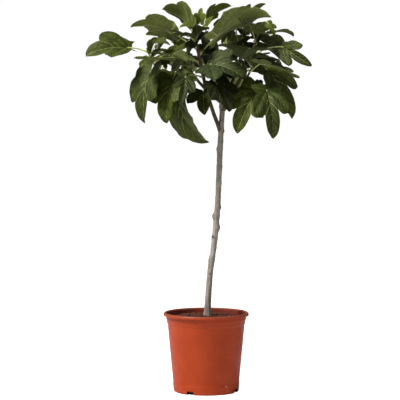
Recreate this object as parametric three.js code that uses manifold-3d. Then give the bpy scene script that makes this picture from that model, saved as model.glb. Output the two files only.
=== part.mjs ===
// A fig tree (Ficus carica) grown as a small standard: a knobbly clear stem in a plastic nursery
// pot, with a head of short boughs and large lobed leaves. Millimetres, +Z up, origin at the
// centre of the pot's underside. A compass angle is counted from +X towards +Y.
import * as THREE from "three";
import { mergeVertices } from "three/addons/utils/BufferGeometryUtils.js";
import Module from "manifold-3d";

const wasm = await Module();
wasm.setup();

// ---- Driving sizes -------------------------------------------------------------------------

const POT = {
  height: 222,
  rimRadius: 120, // outside of the turned-down lip: a 24 cm pot
  neckRadius: 112.5, // wall just under the lip
  bodyRadius: 108, // wall just under the collar
  footRadius: 91.5,
  wall: 2,
  floor: 4, // top of the pot's floor
  collarHeight: 22, // the stepped band under the lip that lets pots stack
  lipDrop: 9,
  sides: 32,
};
const DRAIN = { width: 21, height: 10, depth: 18, compass: [-176, -119, -24, 40, 112] };
const SOIL = { belowRim: 9, mound: 3, clearance: 0.5 };
const GAP = 0.3; // between two pieces that meet
const SIMPLER = 0.05; // slivers finer than this are taken out of a fused mass
const TRUNK = {
  foot: 8.7,
  tip: 7.4,
  flare: 3.2, // extra radius where the roots begin
  flareHeight: 16,
  sides: 9,
  steps: 38,
};
const LEAF = {
  thickness: 2,
  stalkRadius: 1.9,
  stalkEnd: 0.9, // thin enough to run inside the blade
  stalkSunk: 7, // how far the stalk runs on under the midrib
  stalkSteps: 2,
  clearance: 1.2, // kept free on both faces of every leaf
  tries: 80,
};
const GOLDEN_ANGLE = 137.5;

// The space that the crown keeps to: an egg round its middle.
const CROWN = { centre: [-12, 5, 880], reach: [290, 270, 202] };

const COLLAR_FOOT = POT.height - POT.lipDrop - POT.collarHeight;
const SOIL_TOP = POT.height - SOIL.belowRim;
const TRUNK_FOOT = SOIL_TOP + GAP;

// ---- Small helpers -------------------------------------------------------------------------

const radians = (degrees) => (degrees * Math.PI) / 180;
const mix = (a, b, share) => a + (b - a) * share;
const vec = (x, y, z) => new THREE.Vector3(x, y, z);

/** A unit vector from a compass angle and a rise above the horizon, in degrees. */
function heading(compass, rise) {
  const c = radians(compass);
  const r = radians(rise);
  return vec(Math.cos(c) * Math.cos(r), Math.sin(c) * Math.cos(r), Math.sin(r));
}

/** A repeatable stream of numbers from 0 to 1. */
function randomStream(seed) {
  let state = seed >>> 0;
  return () => {
    state = (Math.imul(state, 1664525) + 1013904223) >>> 0;
    return state / 4294967296;
  };
}

/** A closed geometry as a solid that booleans can use. */
function solidOf(geometry) {
  const bare = geometry.clone();
  bare.deleteAttribute("normal");
  bare.deleteAttribute("uv");
  const merged = mergeVertices(bare, 1e-4);
  return new wasm.Manifold(
    new wasm.Mesh({
      numProp: 3,
      vertProperties: merged.attributes.position.array,
      triVerts: new Uint32Array(merged.index.array),
    }),
  );
}

/** A solid back as a geometry. */
function geometryOf(solid) {
  const mesh = solid.getMesh();
  const geometry = new THREE.BufferGeometry();
  geometry.setAttribute("position", new THREE.BufferAttribute(mesh.vertProperties, 3));
  geometry.setIndex(new THREE.BufferAttribute(mesh.triVerts, 1));
  geometry.computeVertexNormals();
  return geometry;
}

/** The largest body of a solid, without the scraps that a cut leaves. */
function largestBody(solid) {
  return solid.decompose().reduce((a, b) => (b.volume() > a.volume() ? b : a));
}

function named(name, geometry, material) {
  const mesh = new THREE.Mesh(geometry, material);
  mesh.name = name;
  return mesh;
}

// ---- Materials -----------------------------------------------------------------------------

const MATERIALS = {
  pot: new THREE.MeshStandardMaterial({ color: 0xb04a28, roughness: 0.42, metalness: 0 }),
  soil: new THREE.MeshStandardMaterial({ color: 0x3a2a1e, roughness: 0.95, metalness: 0 }),
  bark: new THREE.MeshStandardMaterial({ color: 0x8f8476, roughness: 0.85, metalness: 0 }),
  foliage: new THREE.MeshStandardMaterial({ color: 0x3f5a26, roughness: 0.55, metalness: 0 }),
};

// ---- Pot and soil --------------------------------------------------------------------------

/** Outside radius of the pot's wall at a height, below the collar's step. */
function wallRadius(z) {
  return mix(POT.footRadius, POT.bodyRadius, z / (COLLAR_FOOT - 3));
}

/** A lathe profile of (radius, height) pairs turned about +Z. */
function turned(profile) {
  const points = profile.map(([r, z]) => new THREE.Vector2(r, z));
  const geometry = new THREE.LatheGeometry(points, POT.sides);
  geometry.rotateX(Math.PI / 2);
  return solidOf(geometry);
}

function pot() {
  const { height, rimRadius, neckRadius, wall, floor, lipDrop } = POT;
  const underside = [
    [0, 0],
    [26, 0],
    [28, 1.6],
    [66, 1.6],
    [68, 0],
  ];
  const outside = [
    [POT.footRadius - 2, 0],
    [wallRadius(3), 3],
    [wallRadius(COLLAR_FOOT - 3), COLLAR_FOOT - 3],
    [neckRadius - 2.4, COLLAR_FOOT + 2],
    [neckRadius - 1.4, COLLAR_FOOT + 9],
    [neckRadius, COLLAR_FOOT + 12],
    [neckRadius + 0.6, height - 3.2],
    [rimRadius - 2.4, height - 3.2],
    [rimRadius - 2, height - lipDrop],
    [rimRadius, height - lipDrop + 0.6],
    [rimRadius, height - 3.5],
    [rimRadius - 2, height - 0.4],
    [rimRadius - 4, height],
  ];
  const inside = [
    [neckRadius - wall, height - 1.5],
    [neckRadius - 2.4 - wall, COLLAR_FOOT + 2],
    [wallRadius(COLLAR_FOOT - 3) - wall, COLLAR_FOOT - 3],
    [wallRadius(floor + 4) - wall, floor + 4],
    [wallRadius(floor) - wall - 3, floor],
    [0, floor],
  ];
  let body = turned([...underside, ...outside, ...inside]);
  for (const compass of DRAIN.compass) {
    const cut = new THREE.BoxGeometry(DRAIN.depth, DRAIN.width, DRAIN.height * 2);
    cut.translate(POT.footRadius, 0, 0);
    cut.rotateZ(radians(compass));
    body = body.subtract(solidOf(cut));
  }
  return body;
}

function soil() {
  const { clearance, mound } = SOIL;
  const floor = POT.floor + clearance;
  const inside = (z) => wallRadius(z) - POT.wall - clearance;
  const collar = POT.neckRadius - 2.4 - POT.wall - clearance;
  return turned([
    [0, floor],
    [inside(floor) - 3.6, floor],
    [inside(floor + 5) - 0.4, floor + 5],
    [inside(COLLAR_FOOT - 4), COLLAR_FOOT - 4],
    [collar - 0.3, COLLAR_FOOT + 2.6],
    [collar, SOIL_TOP - mound - 2],
    [collar - 5, SOIL_TOP - mound],
    [55, SOIL_TOP - mound * 0.3],
    [24, SOIL_TOP],
    [0, SOIL_TOP],
  ]);
}

// ---- Trunk and boughs ----------------------------------------------------------------------

/** A closed tube round a list of points, with a radius at each: a cylinder bent to the route. */
function tube(route, radii, sides, upright = false) {
  const steps = route.length - 1;
  const geometry = new THREE.CylinderGeometry(1, 1, 1, sides, steps);
  const tangents = route.map((_, i) =>
    route[Math.min(i + 1, steps)].clone().sub(route[Math.max(i - 1, 0)]).normalize(),
  );
  if (upright) tangents[0].set(0, 0, 1);
  const side = Math.abs(tangents[0].z) > 0.9 ? vec(1, 0, 0) : vec(0, 0, 1);
  const across = [side.cross(tangents[0]).normalize()];
  for (let i = 1; i <= steps; i++) {
    const turn = new THREE.Quaternion().setFromUnitVectors(tangents[i - 1], tangents[i]);
    across.push(across[i - 1].clone().applyQuaternion(turn));
  }
  const position = geometry.attributes.position;
  for (let v = 0; v < position.count; v++) {
    const i = Math.round((position.getY(v) + 0.5) * steps);
    const other = tangents[i].clone().cross(across[i]);
    const at = route[i].clone();
    at.addScaledVector(across[i], position.getX(v) * radii[i]);
    at.addScaledVector(other, -position.getZ(v) * radii[i]);
    position.setXYZ(v, at.x, at.y, at.z);
  }
  return solidOf(geometry);
}

// The stem's lean and kinks: height of each bend, and where its axis stands there.
const BENDS = [
  [TRUNK_FOOT, 3, 0],
  [282, 7, -2],
  [342, 12, -3],
  [410, 22, -1],
  [477, 28.5, 2],
  [548, 33.5, 3],
  [636, 37, 1],
  [722, 41, -1],
  [824, 47, 0],
];
const TRUNK_TOP = BENDS[BENDS.length - 1][0];

// Leaf scars and old pruning knobs that swell the stem: height, and share of its radius.
const KNOBS = [
  [300, 0.1],
  [372, 0.14],
  [434, 0.22],
  [459, 0.22],
  [492, 0.3],
  [517, 0.14],
  [582, 0.18],
  [630, 0.12],
  [680, 0.26],
  [730, 0.14],
  [800, 0.3],
];

/** The point of the trunk's axis at a height: a smooth line through the bends. */
function trunkAt(z) {
  const last = BENDS.length - 1;
  let i = 0;
  while (i < last - 1 && z > BENDS[i + 1][0]) i++;
  const [a, b] = [BENDS[i], BENDS[i + 1]];
  const slope = (k, axis) => {
    const [p, q] = [BENDS[Math.max(k - 1, 0)], BENDS[Math.min(k + 1, last)]];
    return (q[axis] - p[axis]) / (q[0] - p[0]);
  };
  const rise = b[0] - a[0];
  const t = (z - a[0]) / rise;
  const along = (axis) =>
    a[axis] * (2 * t ** 3 - 3 * t ** 2 + 1) +
    b[axis] * (3 * t ** 2 - 2 * t ** 3) +
    rise * slope(i, axis) * (t ** 3 - 2 * t ** 2 + t) +
    rise * slope(i + 1, axis) * (t ** 3 - t ** 2);
  return vec(along(1), along(2), z);
}

function trunkRadius(z) {
  const plain = mix(TRUNK.foot, TRUNK.tip, (z - TRUNK_FOOT) / (TRUNK_TOP - TRUNK_FOOT));
  const flare = TRUNK.flare * Math.exp(-(z - TRUNK_FOOT) / TRUNK.flareHeight);
  const swelling = ([at, share]) => share * 0.6 * Math.exp(-(((z - at) / 9) ** 2));
  return plain * (1 + KNOBS.reduce((sum, knob) => sum + swelling(knob), 0)) + flare;
}

function trunk(extra = 0) {
  const route = [];
  for (let i = 0; i <= TRUNK.steps; i++) {
    route.push(trunkAt(mix(TRUNK_FOOT, TRUNK_TOP, (i / TRUNK.steps) ** 1.15)));
  }
  const radii = route.map((point) => trunkRadius(point.z) + extra);
  return tube(route, radii, TRUNK.sides, true);
}

// Each limb leaves the trunk at a height, or an earlier limb at a share of its length, and turns
// up past its knee to its tip, which stands at a compass angle, reach and height from the
// trunk's head. It is a bare bough up to a share of its length, and past that a leafy shoot. A
// few leaves have a pose of their own, given by the heart where the stalk meets the blade, the
// blade's tip, and where its upper side faces. base is how far their two lowest lobes stand out.
const LIMBS = [
  {
    name: "middle", from: 728, compass: 205, reach: 88, top: 1007, bare: 0.5,
    radii: [5.8, 3.8], leaves: 11, turn: 20, seed: 3,
    posed: {
      0: { heart: [-8, -44, 838], tip: [-4, -98, 772], faces: [-105, 45], spread: 0.8 },
      1: { heart: [28, -84, 860], tip: [64, -118, 780], faces: [-72, 20], spread: 0.7 },
      2: { heart: [-58, -114, 876], tip: [-72, -154, 798], faces: [-72, 22], spread: 0.5 },
      3: { heart: [12, -76, 913], tip: [106, -124, 872], faces: [-95, 42], spread: 0.85 },
      5: { heart: [-136, -76, 926], tip: [-178, -140, 898], faces: [-120, 60], spread: 0.8 },
      6: { heart: [32, -30, 993], tip: [184, -20, 1046], faces: [100, 60], spread: 0.5, lobing: 0.1 },
      7: { heart: [-102, -14, 1004], tip: [-210, -22, 1015], faces: [95, 62], spread: 0.62, lobing: 0.2 },
      8: { heart: [-50, -56, 992], tip: [-88, -110, 980], faces: [-110, 60], spread: 0.8 },
      9: { heart: [-42, 6, 1014], tip: [-127, 24, 1069], faces: [60, 66], spread: 1.05, lobing: 0.1 },
      10: { heart: [1, 26, 1025], tip: [74, 44, 1081], faces: [100, 62], spread: 0.56, base: 0.3 },
    },
  },
  {
    name: "west", on: 0, from: 0.44, compass: 182, reach: 210, top: 952, bare: 0.5,
    knee: [0.75, 0.12], radii: [4.4, 2.6], leaves: 7, turn: 150, seed: 5,
    posed: {
      0: { heart: [-90, -62, 876], tip: [-108, -100, 749], faces: [-120, 10], spread: 0.66 },
      1: { heart: [-78, -42, 826], tip: [10, -56, 699], faces: [-152, 5], spread: 0.47, lobing: 0 },
      3: { heart: [-153, -53, 894], tip: [-168, -70, 749], faces: [-140, 10], spread: 0.62 },
      6: {
        heart: [-217, -8, 961], tip: [-333, -30, 935], faces: [-95, 50],
        spread: 0.74, lobing: 0.3, base: 0,
      },
    },
  },
  {
    name: "north", from: 794, compass: 84, reach: 150, top: 977, bare: 0.5,
    radii: [6, 3], leaves: 9, turn: 90, seed: 8,
    posed: { 6: { heart: [10, 88, 936], tip: [-8, 80, 1008], faces: [-90, 15], spread: 0.6, base: 0.5 } },
  },
  {
    name: "east", from: 802, compass: -6, reach: 98, top: 1000, bare: 0.46,
    radii: [6.2, 3], leaves: 9, turn: 0, seed: 13,
    posed: {
      1: { heart: [167, -25, 901], tip: [237, -31, 762], faces: [-72, 50], spread: 0.5 },
      4: { heart: [211, -42, 962], tip: [290, -90, 906], faces: [-110, 8], spread: 0.48, base: 0.1 },
      5: { heart: [164, 18, 976], tip: [222, 58, 920], faces: [-60, 40], spread: 0.7 },
      6: { heart: [186, 86, 1006], tip: [250, 106, 998], faces: [0, 88], spread: 0.85 },
    },
  },
  {
    name: "southeast", from: 788, compass: -40, reach: 103, top: 907, bare: 0.5,
    radii: [5.6, 2.8], leaves: 7, turn: -60, seed: 21,
    posed: {
      0: { heart: [139, -88, 841], tip: [83, -104, 724], faces: [-110, 10], spread: 0.66 },
      1: { heart: [163, -140, 840], tip: [179, -162, 707], faces: [-80, 10], spread: 0.52, lobing: 0.7 },
    },
  },
  {
    name: "northwest", from: 808, compass: 138, reach: 185, top: 977, bare: 0.46,
    radii: [5.6, 2.8], leaves: 8, turn: 135, seed: 34,
  },
  {
    name: "northeast", from: 814, compass: 52, reach: 104, top: 997, bare: 0.5,
    radii: [5.6, 2.8], leaves: 8, turn: 60, seed: 55,
    posed: {
      6: { heart: [108, 112, 1028], tip: [20, 140, 1030], faces: [90, 74], spread: 0.9 },
      7: { heart: [112, 59, 1031], tip: [170, 73, 1090], faces: [120, 45], spread: 0.68, base: 0.3 },
    },
  },
];

/** The whole curve of a limb, from the trunk's axis to its tip. */
function limbCurve(limb) {
  const start = limb.on === undefined ? trunkAt(limb.from) : limbCurve(LIMBS[limb.on]).getPoint(limb.from);
  const [out, up] = limb.knee ?? [0.6, 0.34];
  const tip = heading(limb.compass, 0).multiplyScalar(limb.reach).add(trunkAt(TRUNK_TOP));
  tip.z = limb.top;
  const bend = start.clone().lerp(tip, out);
  bend.z = mix(start.z, tip.z, up);
  return new THREE.QuadraticBezierCurve3(start, bend, tip);
}

/** A stretch of a limb as a tube, between two shares of its curve. */
function stretch(limb, from, to, steps, sides, extra = 0, tip = 1) {
  const curve = limbCurve(limb);
  const route = [];
  const radii = [];
  for (let i = 0; i <= steps; i++) {
    const share = mix(from, to, i / steps);
    route.push(curve.getPoint(share));
    radii.push(mix(limb.radii[0], limb.radii[1], share) + extra);
  }
  radii[steps] *= tip;
  return tube(route, radii, sides);
}

function bough(limb, others) {
  return largestBody(stretch(limb, 0, limb.bare, 9, 8).subtract(wasm.Manifold.union(others)));
}

/** The leafy shoot's own stem, which begins a gap past the bough's end. */
function shootStem(limb, extra = 0) {
  const curve = limbCurve(limb);
  const step = curve.getPoint(limb.bare + 0.01).distanceTo(curve.getPoint(limb.bare));
  return stretch(limb, limb.bare + (0.01 * GAP) / step, 1, 7, 6, extra, 0.4);
}

// ---- Leaves --------------------------------------------------------------------------------

// The lobes on each side of a blade: angle from the midrib, reach as a share of the blade's
// length, half its spread, and how far the notch past it comes in on a shallow or a deep leaf.
const LOBES = [
  { angle: 0, reach: 1, half: 26, shallow: 0.82, deep: 0.38 },
  { angle: 51, reach: 0.82, half: 25, shallow: 0.66, deep: 0.34 },
  { angle: 101, reach: 0.54, half: 25, shallow: 0.34, deep: 0.26 },
];
const EDGE_ANGLES = [0, 15, 26, 43, 60, 76, 101, 150];
const LOBES_END = 126; // past this angle the edge runs in to the stalk
const BASE_REACH = [0.3, 0.17]; // the edge where the lobes end, and straight behind the heart

/** How far the edge of a blade lies from its heart, at an angle from the midrib. */
function edgeReach(angle, { lobing, base = 1 }) {
  const a = Math.abs(angle);
  const full = mix(0.5, 1, base);
  const index = LOBES.findIndex((lobe) => a <= lobe.angle + lobe.half);
  if (index < 0) return full * mix(...BASE_REACH, (a - LOBES_END) / (180 - LOBES_END));
  const lobe = LOBES[index];
  const notch = a > lobe.angle || index === 0 ? lobe : LOBES[index - 1];
  const floor = mix(notch.shallow, notch.deep, lobing);
  const share = Math.min(1, Math.abs(a - lobe.angle) / lobe.half);
  const reach = index === 2 ? full * lobe.reach : lobe.reach;
  return floor + (reach - floor) * (1 - share ** 1.8) ** 0.8;
}

/** A point of a blade of unit length, lifted off its middle surface: X across, Y along. */
function bladePoint(leaf, angle, ring, lift) {
  const reach = ring * edgeReach(angle, leaf);
  const across = reach * Math.sin(radians(angle)) * leaf.spread;
  const along = reach * Math.cos(radians(angle));
  const wave = 0.03 * ring * ring * Math.sin(radians(angle * 3.4 + leaf.phase));
  const height = leaf.cup * Math.abs(across) - leaf.arch * reach * reach + wave + lift;
  const curl = radians(leaf.curl);
  const bent = Math.max(along, 0) * curl;
  return vec(
    across,
    Math.min(along, 0) + Math.sin(bent) / curl + height * Math.sin(bent),
    (Math.cos(bent) - 1) / curl + height * Math.cos(bent),
  );
}

/** Places a unit blade so that its heart and its tip fall where the leaf says. */
function bladeFrame(leaf) {
  const tip = bladePoint(leaf, 0, 1, 0);
  const chord = leaf.tip.clone().sub(leaf.heart);
  const scale = chord.length() / tip.length();
  chord.normalize();
  const side = chord.clone().cross(leaf.faces).normalize();
  const midrib = chord.clone().applyAxisAngle(side, -Math.atan2(tip.z, tip.y));
  const face = side.clone().cross(midrib);
  const frame = new THREE.Matrix4().makeBasis(side, midrib, face);
  frame.scale(vec(scale, scale, scale)).setPosition(leaf.heart);
  return { frame, scale, midrib };
}

/** A leaf's blade as a thin closed solid. grow thickens and widens it. */
function blade(leaf, grow = 0) {
  const { frame, scale } = bladeFrame(leaf);
  const edge = [...EDGE_ANGLES.slice(1).map((a) => -a).reverse(), ...EDGE_ANGLES];
  const inner = edge.filter((_, i) => i % 2 === 0); // both end where the edge does
  const half = (LEAF.thickness / 2 + grow) / scale;
  const points = [];
  for (const lift of [half, -half]) {
    points.push(bladePoint(leaf, 0, 0, lift));
    for (const angle of inner) points.push(bladePoint(leaf, angle, 0.55, lift));
    for (const angle of edge) points.push(bladePoint(leaf, angle, 1 + grow / scale, lift));
  }
  const layer = points.length / 2;
  const outside = 1 + inner.length;
  const faces = [];
  const both = (a, b, c) => faces.push(a, b, c, a + layer, c + layer, b + layer);
  for (let i = 1; i < inner.length; i++) {
    const far = outside + 2 * i - 1; // the edge point between i and i + 1
    both(0, i + 1, i);
    both(i, far, far - 1);
    both(i, i + 1, far);
    both(i + 1, far + 1, far);
  }
  const rim = [0, 1, ...edge.map((_, i) => outside + i), inner.length];
  rim.forEach((a, i) => {
    const b = rim[(i + 1) % rim.length];
    faces.push(a, b, b + layer, a, b + layer, a + layer);
  });
  const geometry = new THREE.BufferGeometry();
  const place = points.flatMap((point) => point.applyMatrix4(frame).toArray());
  geometry.setAttribute("position", new THREE.Float32BufferAttribute(place, 3));
  geometry.setIndex(faces);
  return solidOf(geometry);
}

/** Points along a leaf's stalk, which bows up on its way from the shoot to the blade. */
function stalkRoute(leaf) {
  const length = leaf.heart.distanceTo(leaf.root);
  const bend = leaf.root.clone().lerp(leaf.heart, 0.55);
  bend.z += leaf.bow * length;
  return new THREE.QuadraticBezierCurve3(leaf.root, bend, leaf.heart).getPoints(LEAF.stalkSteps);
}

/** A leaf's stalk, from one of its steps on. It runs on under the blade's midrib. */
function stalk(leaf, firstStep = 0, grow = 0) {
  const route = stalkRoute(leaf).slice(firstStep);
  const { midrib } = bladeFrame(leaf);
  route.push(leaf.heart.clone().addScaledVector(midrib, LEAF.stalkSunk));
  const radii = route.map((_, i) => (i < route.length - 2 ? LEAF.stalkRadius : LEAF.stalkEnd) + grow);
  return tube(route, radii, 3);
}

/** The pose that the rule gives to a leaf of a shoot: the lower a leaf, the larger and limper. */
function ruledLeaf(limb, index, attempt) {
  const random = randomStream(limb.seed * 7919 + index * 10473 + attempt * 12553 + 17);
  random();
  const loose = 1 + attempt * 0.08;
  const jitter = (spread) => (random() - 0.5) * 2 * spread * loose;
  const share = index / (limb.leaves - 1); // 0 at the lowest leaf, 1 at the tip
  const along = mix(0.04, 0.97, share) + (attempt % 7) * 0.012 * (share < 0.5 ? 1 : -1);
  const root = limbCurve(limb).getPoint(mix(limb.bare, 1, along));
  const compass = limb.turn + index * GOLDEN_ANGLE + jitter(12);
  const stalkLength = mix(84, 36, share) * (1 + jitter(0.12));
  const heart = heading(compass, mix(6, 56, share) + jitter(8)).multiplyScalar(stalkLength).add(root);
  const span = mix(138, 84, share ** 1.6) * (1 + jitter(0.06)) * (1 - attempt * 0.005);
  const drop = mix(-58, 18, share) + jitter(14);
  const tip = heading(compass + jitter(16), drop).multiplyScalar(span).add(heart);
  const leaf = {
    root,
    heart,
    tip,
    faces: heading(compass + jitter(50), 72),
    bow: 0.14 + jitter(0.05),
    curl: 42 + jitter(14),
    cup: 0.26 + jitter(0.1),
    arch: 0.12 + jitter(0.05),
    lobing: 0.3 + random() * 0.55,
    spread: 0.88 + jitter(0.1),
    phase: random() * 360,
  };
  const posed = limb.posed?.[index];
  if (!posed) return leaf;
  const pose = { heart: vec(...posed.heart), tip: vec(...posed.tip), faces: heading(...posed.faces) };
  return { ...leaf, ...posed, ...pose };
}

/** Whether a leaf's tip and side lobes keep to the crown's space. */
function inCrown(leaf) {
  const { frame } = bladeFrame(leaf);
  return [-51, 0, 51].every((angle) => {
    const point = bladePoint(leaf, angle, 1, 0).applyMatrix4(frame).toArray();
    const out = point.map((value, axis) => (value - CROWN.centre[axis]) / CROWN.reach[axis]);
    return Math.hypot(...out) < 1;
  });
}

// Openings through the crown, from front to back: X, Z and radius.
const OPENINGS = [
  [156, 888, 17],
  [-17, 861, 9],
  [-132, 886, 12],
  [-79, 1035, 10],
  [31, 985, 8],
  [-146, 816, 8],
  [-186, 982, 18],
  [-50, 782, 9],
  [68, 789, 9],
];

function opening([x, z, radius]) {
  const geometry = new THREE.CylinderGeometry(radius, radius, 700, 12);
  geometry.translate(x, 0, z);
  return solidOf(geometry);
}

/** A solid that leaves keep clear of, with the limb that it belongs to. */
const held = (solid, limb = null) => ({ solid, limb, box: solid.boundingBox() });

const boxesMeet = (a, b) =>
  [0, 1, 2].every((axis) => a.min[axis] <= b.max[axis] && b.min[axis] <= a.max[axis]);

/**
 * Grows the leaves of every shoot. A leaf that would touch something is turned, or left out. Only
 * the leaves without a pose of their own are kept out of the openings.
 */
function growLeaves(limbs, blocked, openings) {
  const taken = [...blocked];
  const touches = (solid, others) => {
    const box = solid.boundingBox();
    return others.some((other) => boxesMeet(other.box, box) && !other.solid.intersect(solid).isEmpty());
  };
  const grown = new Map(limbs.map((limb) => [limb.name, []]));
  const jobs = limbs.flatMap((limb) =>
    Array.from({ length: limb.leaves }, (_, index) => ({
      limb,
      index,
      posed: Boolean(limb.posed?.[index]),
    })),
  );
  jobs.sort((a, b) => Number(b.posed) - Number(a.posed));
  for (const { limb, index, posed } of jobs) {
    const near = posed ? taken : [...taken, ...openings];
    const others = taken.filter((other) => other.limb !== limb);
    for (let attempt = 0; attempt < (posed ? 1 : LEAF.tries); attempt++) {
      const leaf = ruledLeaf(limb, index, attempt);
      if (!posed && !inCrown(leaf)) continue;
      const wholeStalk = stalk(leaf, 0, LEAF.clearance);
      const room = blade(leaf, LEAF.clearance).add(stalk(leaf, 1, LEAF.clearance));
      if (touches(room, near) || touches(wholeStalk, others)) continue;
      taken.push(held(room, limb), held(wholeStalk, limb));
      grown.get(limb.name).push({ ...leaf, index, attempt });
      break;
    }
  }
  return grown;
}

// ---- Assembly ------------------------------------------------------------------------------

const tree = new THREE.Group();
tree.add(named("pot", geometryOf(pot()), MATERIALS.pot));
tree.add(named("soil", geometryOf(soil()), MATERIALS.soil));
tree.add(named("trunk", geometryOf(trunk()), MATERIALS.bark));

const wood = [trunk(GAP)];
for (const limb of LIMBS) {
  tree.add(named(`bough_${limb.name}`, geometryOf(bough(limb, wood)), MATERIALS.bark));
  wood.push(stretch(limb, 0, limb.bare, 9, 8, GAP));
}

const stems = [
  ...wood.map((solid, i) => held(solid, LIMBS[i - 1])),
  ...LIMBS.map((limb) => held(shootStem(limb, LEAF.clearance), limb)),
];
const grown = growLeaves(LIMBS, stems, OPENINGS.map((size) => held(opening(size))));
for (const limb of LIMBS) {
  const leaves = grown.get(limb.name).flatMap((leaf) => [stalk(leaf), blade(leaf)]);
  const solid = largestBody(wasm.Manifold.union([shootStem(limb), ...leaves])).simplify(SIMPLER);
  tree.add(named(`foliage_${limb.name}`, geometryOf(solid), MATERIALS.foliage));
}

export default tree;
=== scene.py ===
# %% [markdown]
# # A young fig tree in a nursery pot
# A fig sold as a small standard has a bare stem, a few short boughs and a loose round head of large
# lobed leaves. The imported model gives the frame: every piece made here goes where that model says,
# in metres, with +Z up and the pot's underside at Z = 0. It is loaded first and never moved.

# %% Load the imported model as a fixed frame
import math

import bpy
import numpy as np
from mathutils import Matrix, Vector, noise
from mathutils.bvhtree import BVHTree
from mathutils.kdtree import KDTree


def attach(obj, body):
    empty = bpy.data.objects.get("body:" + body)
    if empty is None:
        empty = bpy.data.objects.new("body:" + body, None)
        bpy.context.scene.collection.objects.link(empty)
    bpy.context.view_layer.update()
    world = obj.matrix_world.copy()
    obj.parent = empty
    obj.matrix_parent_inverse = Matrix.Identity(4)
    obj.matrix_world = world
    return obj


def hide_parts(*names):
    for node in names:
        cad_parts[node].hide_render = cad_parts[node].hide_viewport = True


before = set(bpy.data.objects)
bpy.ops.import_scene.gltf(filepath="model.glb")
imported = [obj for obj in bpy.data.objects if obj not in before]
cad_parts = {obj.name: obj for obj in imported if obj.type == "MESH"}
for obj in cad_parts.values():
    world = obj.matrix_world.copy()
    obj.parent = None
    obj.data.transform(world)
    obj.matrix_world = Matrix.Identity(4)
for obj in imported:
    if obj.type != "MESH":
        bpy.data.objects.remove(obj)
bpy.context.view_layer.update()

# %% [markdown]
# ## The camera
# A tall plant is best seen from far off with a long lens, so that the pot's rim is a flat ellipse and
# nothing leans. The camera stands 4.4 m away, a little higher than the middle of the plant, and looks
# slightly down, which shows the compost inside the rim.

# %% Place the camera
CAMERA_PLACE, CAMERA_AIM = Vector((-0.0173, -4.4, 0.74)), Vector((-0.0173, 0, 0.537))
LENS, SENSOR = 141.57, 36  # in millimetres

camera_lens = bpy.data.cameras.new("camera")
camera_lens.lens, camera_lens.sensor_width = LENS, SENSOR
camera = bpy.data.objects.new("camera", camera_lens)
bpy.context.scene.collection.objects.link(camera)
camera.location = CAMERA_PLACE
camera.rotation_euler = (CAMERA_AIM - CAMERA_PLACE).to_track_quat("-Z", "Y").to_euler()
bpy.context.scene.camera = camera
print("camera lens, mm:", round(camera_lens.lens, 1))

# %% [markdown]
# ## Helpers for meshes
# An operator acts on all that is selected, so everything is deselected before each one. Leaves,
# stalks and crumbs are far too many to model by hand: each is worked out as arrays of points and
# faces, and all of a kind are joined into one mesh. MM turns the sizes, which are in millimetres as
# a gardener would give them, into metres.

# %% Helpers: selection, meshes from arrays, gathering small shapes
MM = 0.001


def clear_selection():
    if bpy.context.object and bpy.context.object.mode != "OBJECT":
        bpy.ops.object.mode_set(mode="OBJECT")
    bpy.ops.object.select_all(action="DESELECT")


def take(piece):
    clear_selection()
    piece.select_set(True)
    bpy.context.view_layer.objects.active = piece


def finish_piece(piece, slot, *nodes):
    """A finished piece rides with the part and stands for its solids. The slot, naming its finish, is not
    used.
    """
    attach(piece, "root")
    if nodes:
        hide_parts(*nodes)
    piece.data.calc_loop_triangles()
    corners = np.array([v.co[:] for v in piece.data.vertices]) / MM
    low, high = corners.min(0).round(), corners.max(0).round()
    print(f"{piece.name}: {len(piece.data.loop_triangles)} triangles, {low} to {high} mm")


class Gathering:
    """Small shapes kept as arrays, in millimetres, to be joined into one mesh."""

    def __init__(self):
        self.points, self.faces, self.kinds, self.maps, self.count = [], [], [], [], 0

    def add(self, points, faces, kind=0, maps=None):
        self.points.append(np.asarray(points, float))
        self.faces += [tuple(int(i) + self.count for i in face) for face in faces]
        self.kinds += list(kind) if np.ndim(kind) else [kind] * len(faces)
        if maps is not None:
            self.maps += maps
        self.count += len(points)

    def join(self, name, materials, map_names=()):
        mesh = bpy.data.meshes.new(name)
        mesh.from_pydata((np.vstack(self.points) * MM).tolist(), [], self.faces)
        for material in materials:
            mesh.materials.append(material)
        mesh.polygons.foreach_set("material_index", self.kinds)
        mesh.polygons.foreach_set("use_smooth", [True] * len(self.faces))
        for i, map_name in enumerate(map_names):
            layer = mesh.uv_layers.new(name=map_name)
            flat = [pair[i] for face in self.maps for pair in face]
            layer.data.foreach_set("uv", np.asarray(flat, np.float32).ravel())
        mesh.update()
        piece = bpy.data.objects.new(name, mesh)
        bpy.context.scene.collection.objects.link(piece)
        return piece


def unit(v):
    v = np.asarray(v, float)
    return v / np.linalg.norm(v)


def mix(a, b, share):
    return a + (b - a) * share


# %% [markdown]
# ## Helpers for materials
# Most finishes here share a few effects: a soft mottling from one colour to another, fibres that run
# up a stem, and a net of fine veins. Each effect is built once as a node group with named inputs and
# outputs, and every material places it with its own values. The groups put out only masks, which
# then drive colour, roughness and the height of a bump.

# %% Helpers for nodes


def colour(r, g, b):
    """A colour given as 0 to 255 on the screen, as linear light."""
    channels = [c / 255 for c in (r, g, b)]
    return (*[c / 12.92 if c <= 0.04045 else ((c + 0.055) / 1.055) ** 2.4 for c in channels], 1)


def feed(tree, socket, value):
    """Links another node's output to a socket, or sets the socket's own value."""
    if isinstance(value, bpy.types.NodeSocket):
        tree.links.new(value, socket)
    else:
        socket.default_value = value


def node(tree, kind, inputs=None, **settings):
    made = tree.nodes.new(kind)
    for key, value in settings.items():
        setattr(made, key, value)
    for key, value in (inputs or {}).items():
        feed(tree, made.inputs[key], value)
    return made


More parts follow.
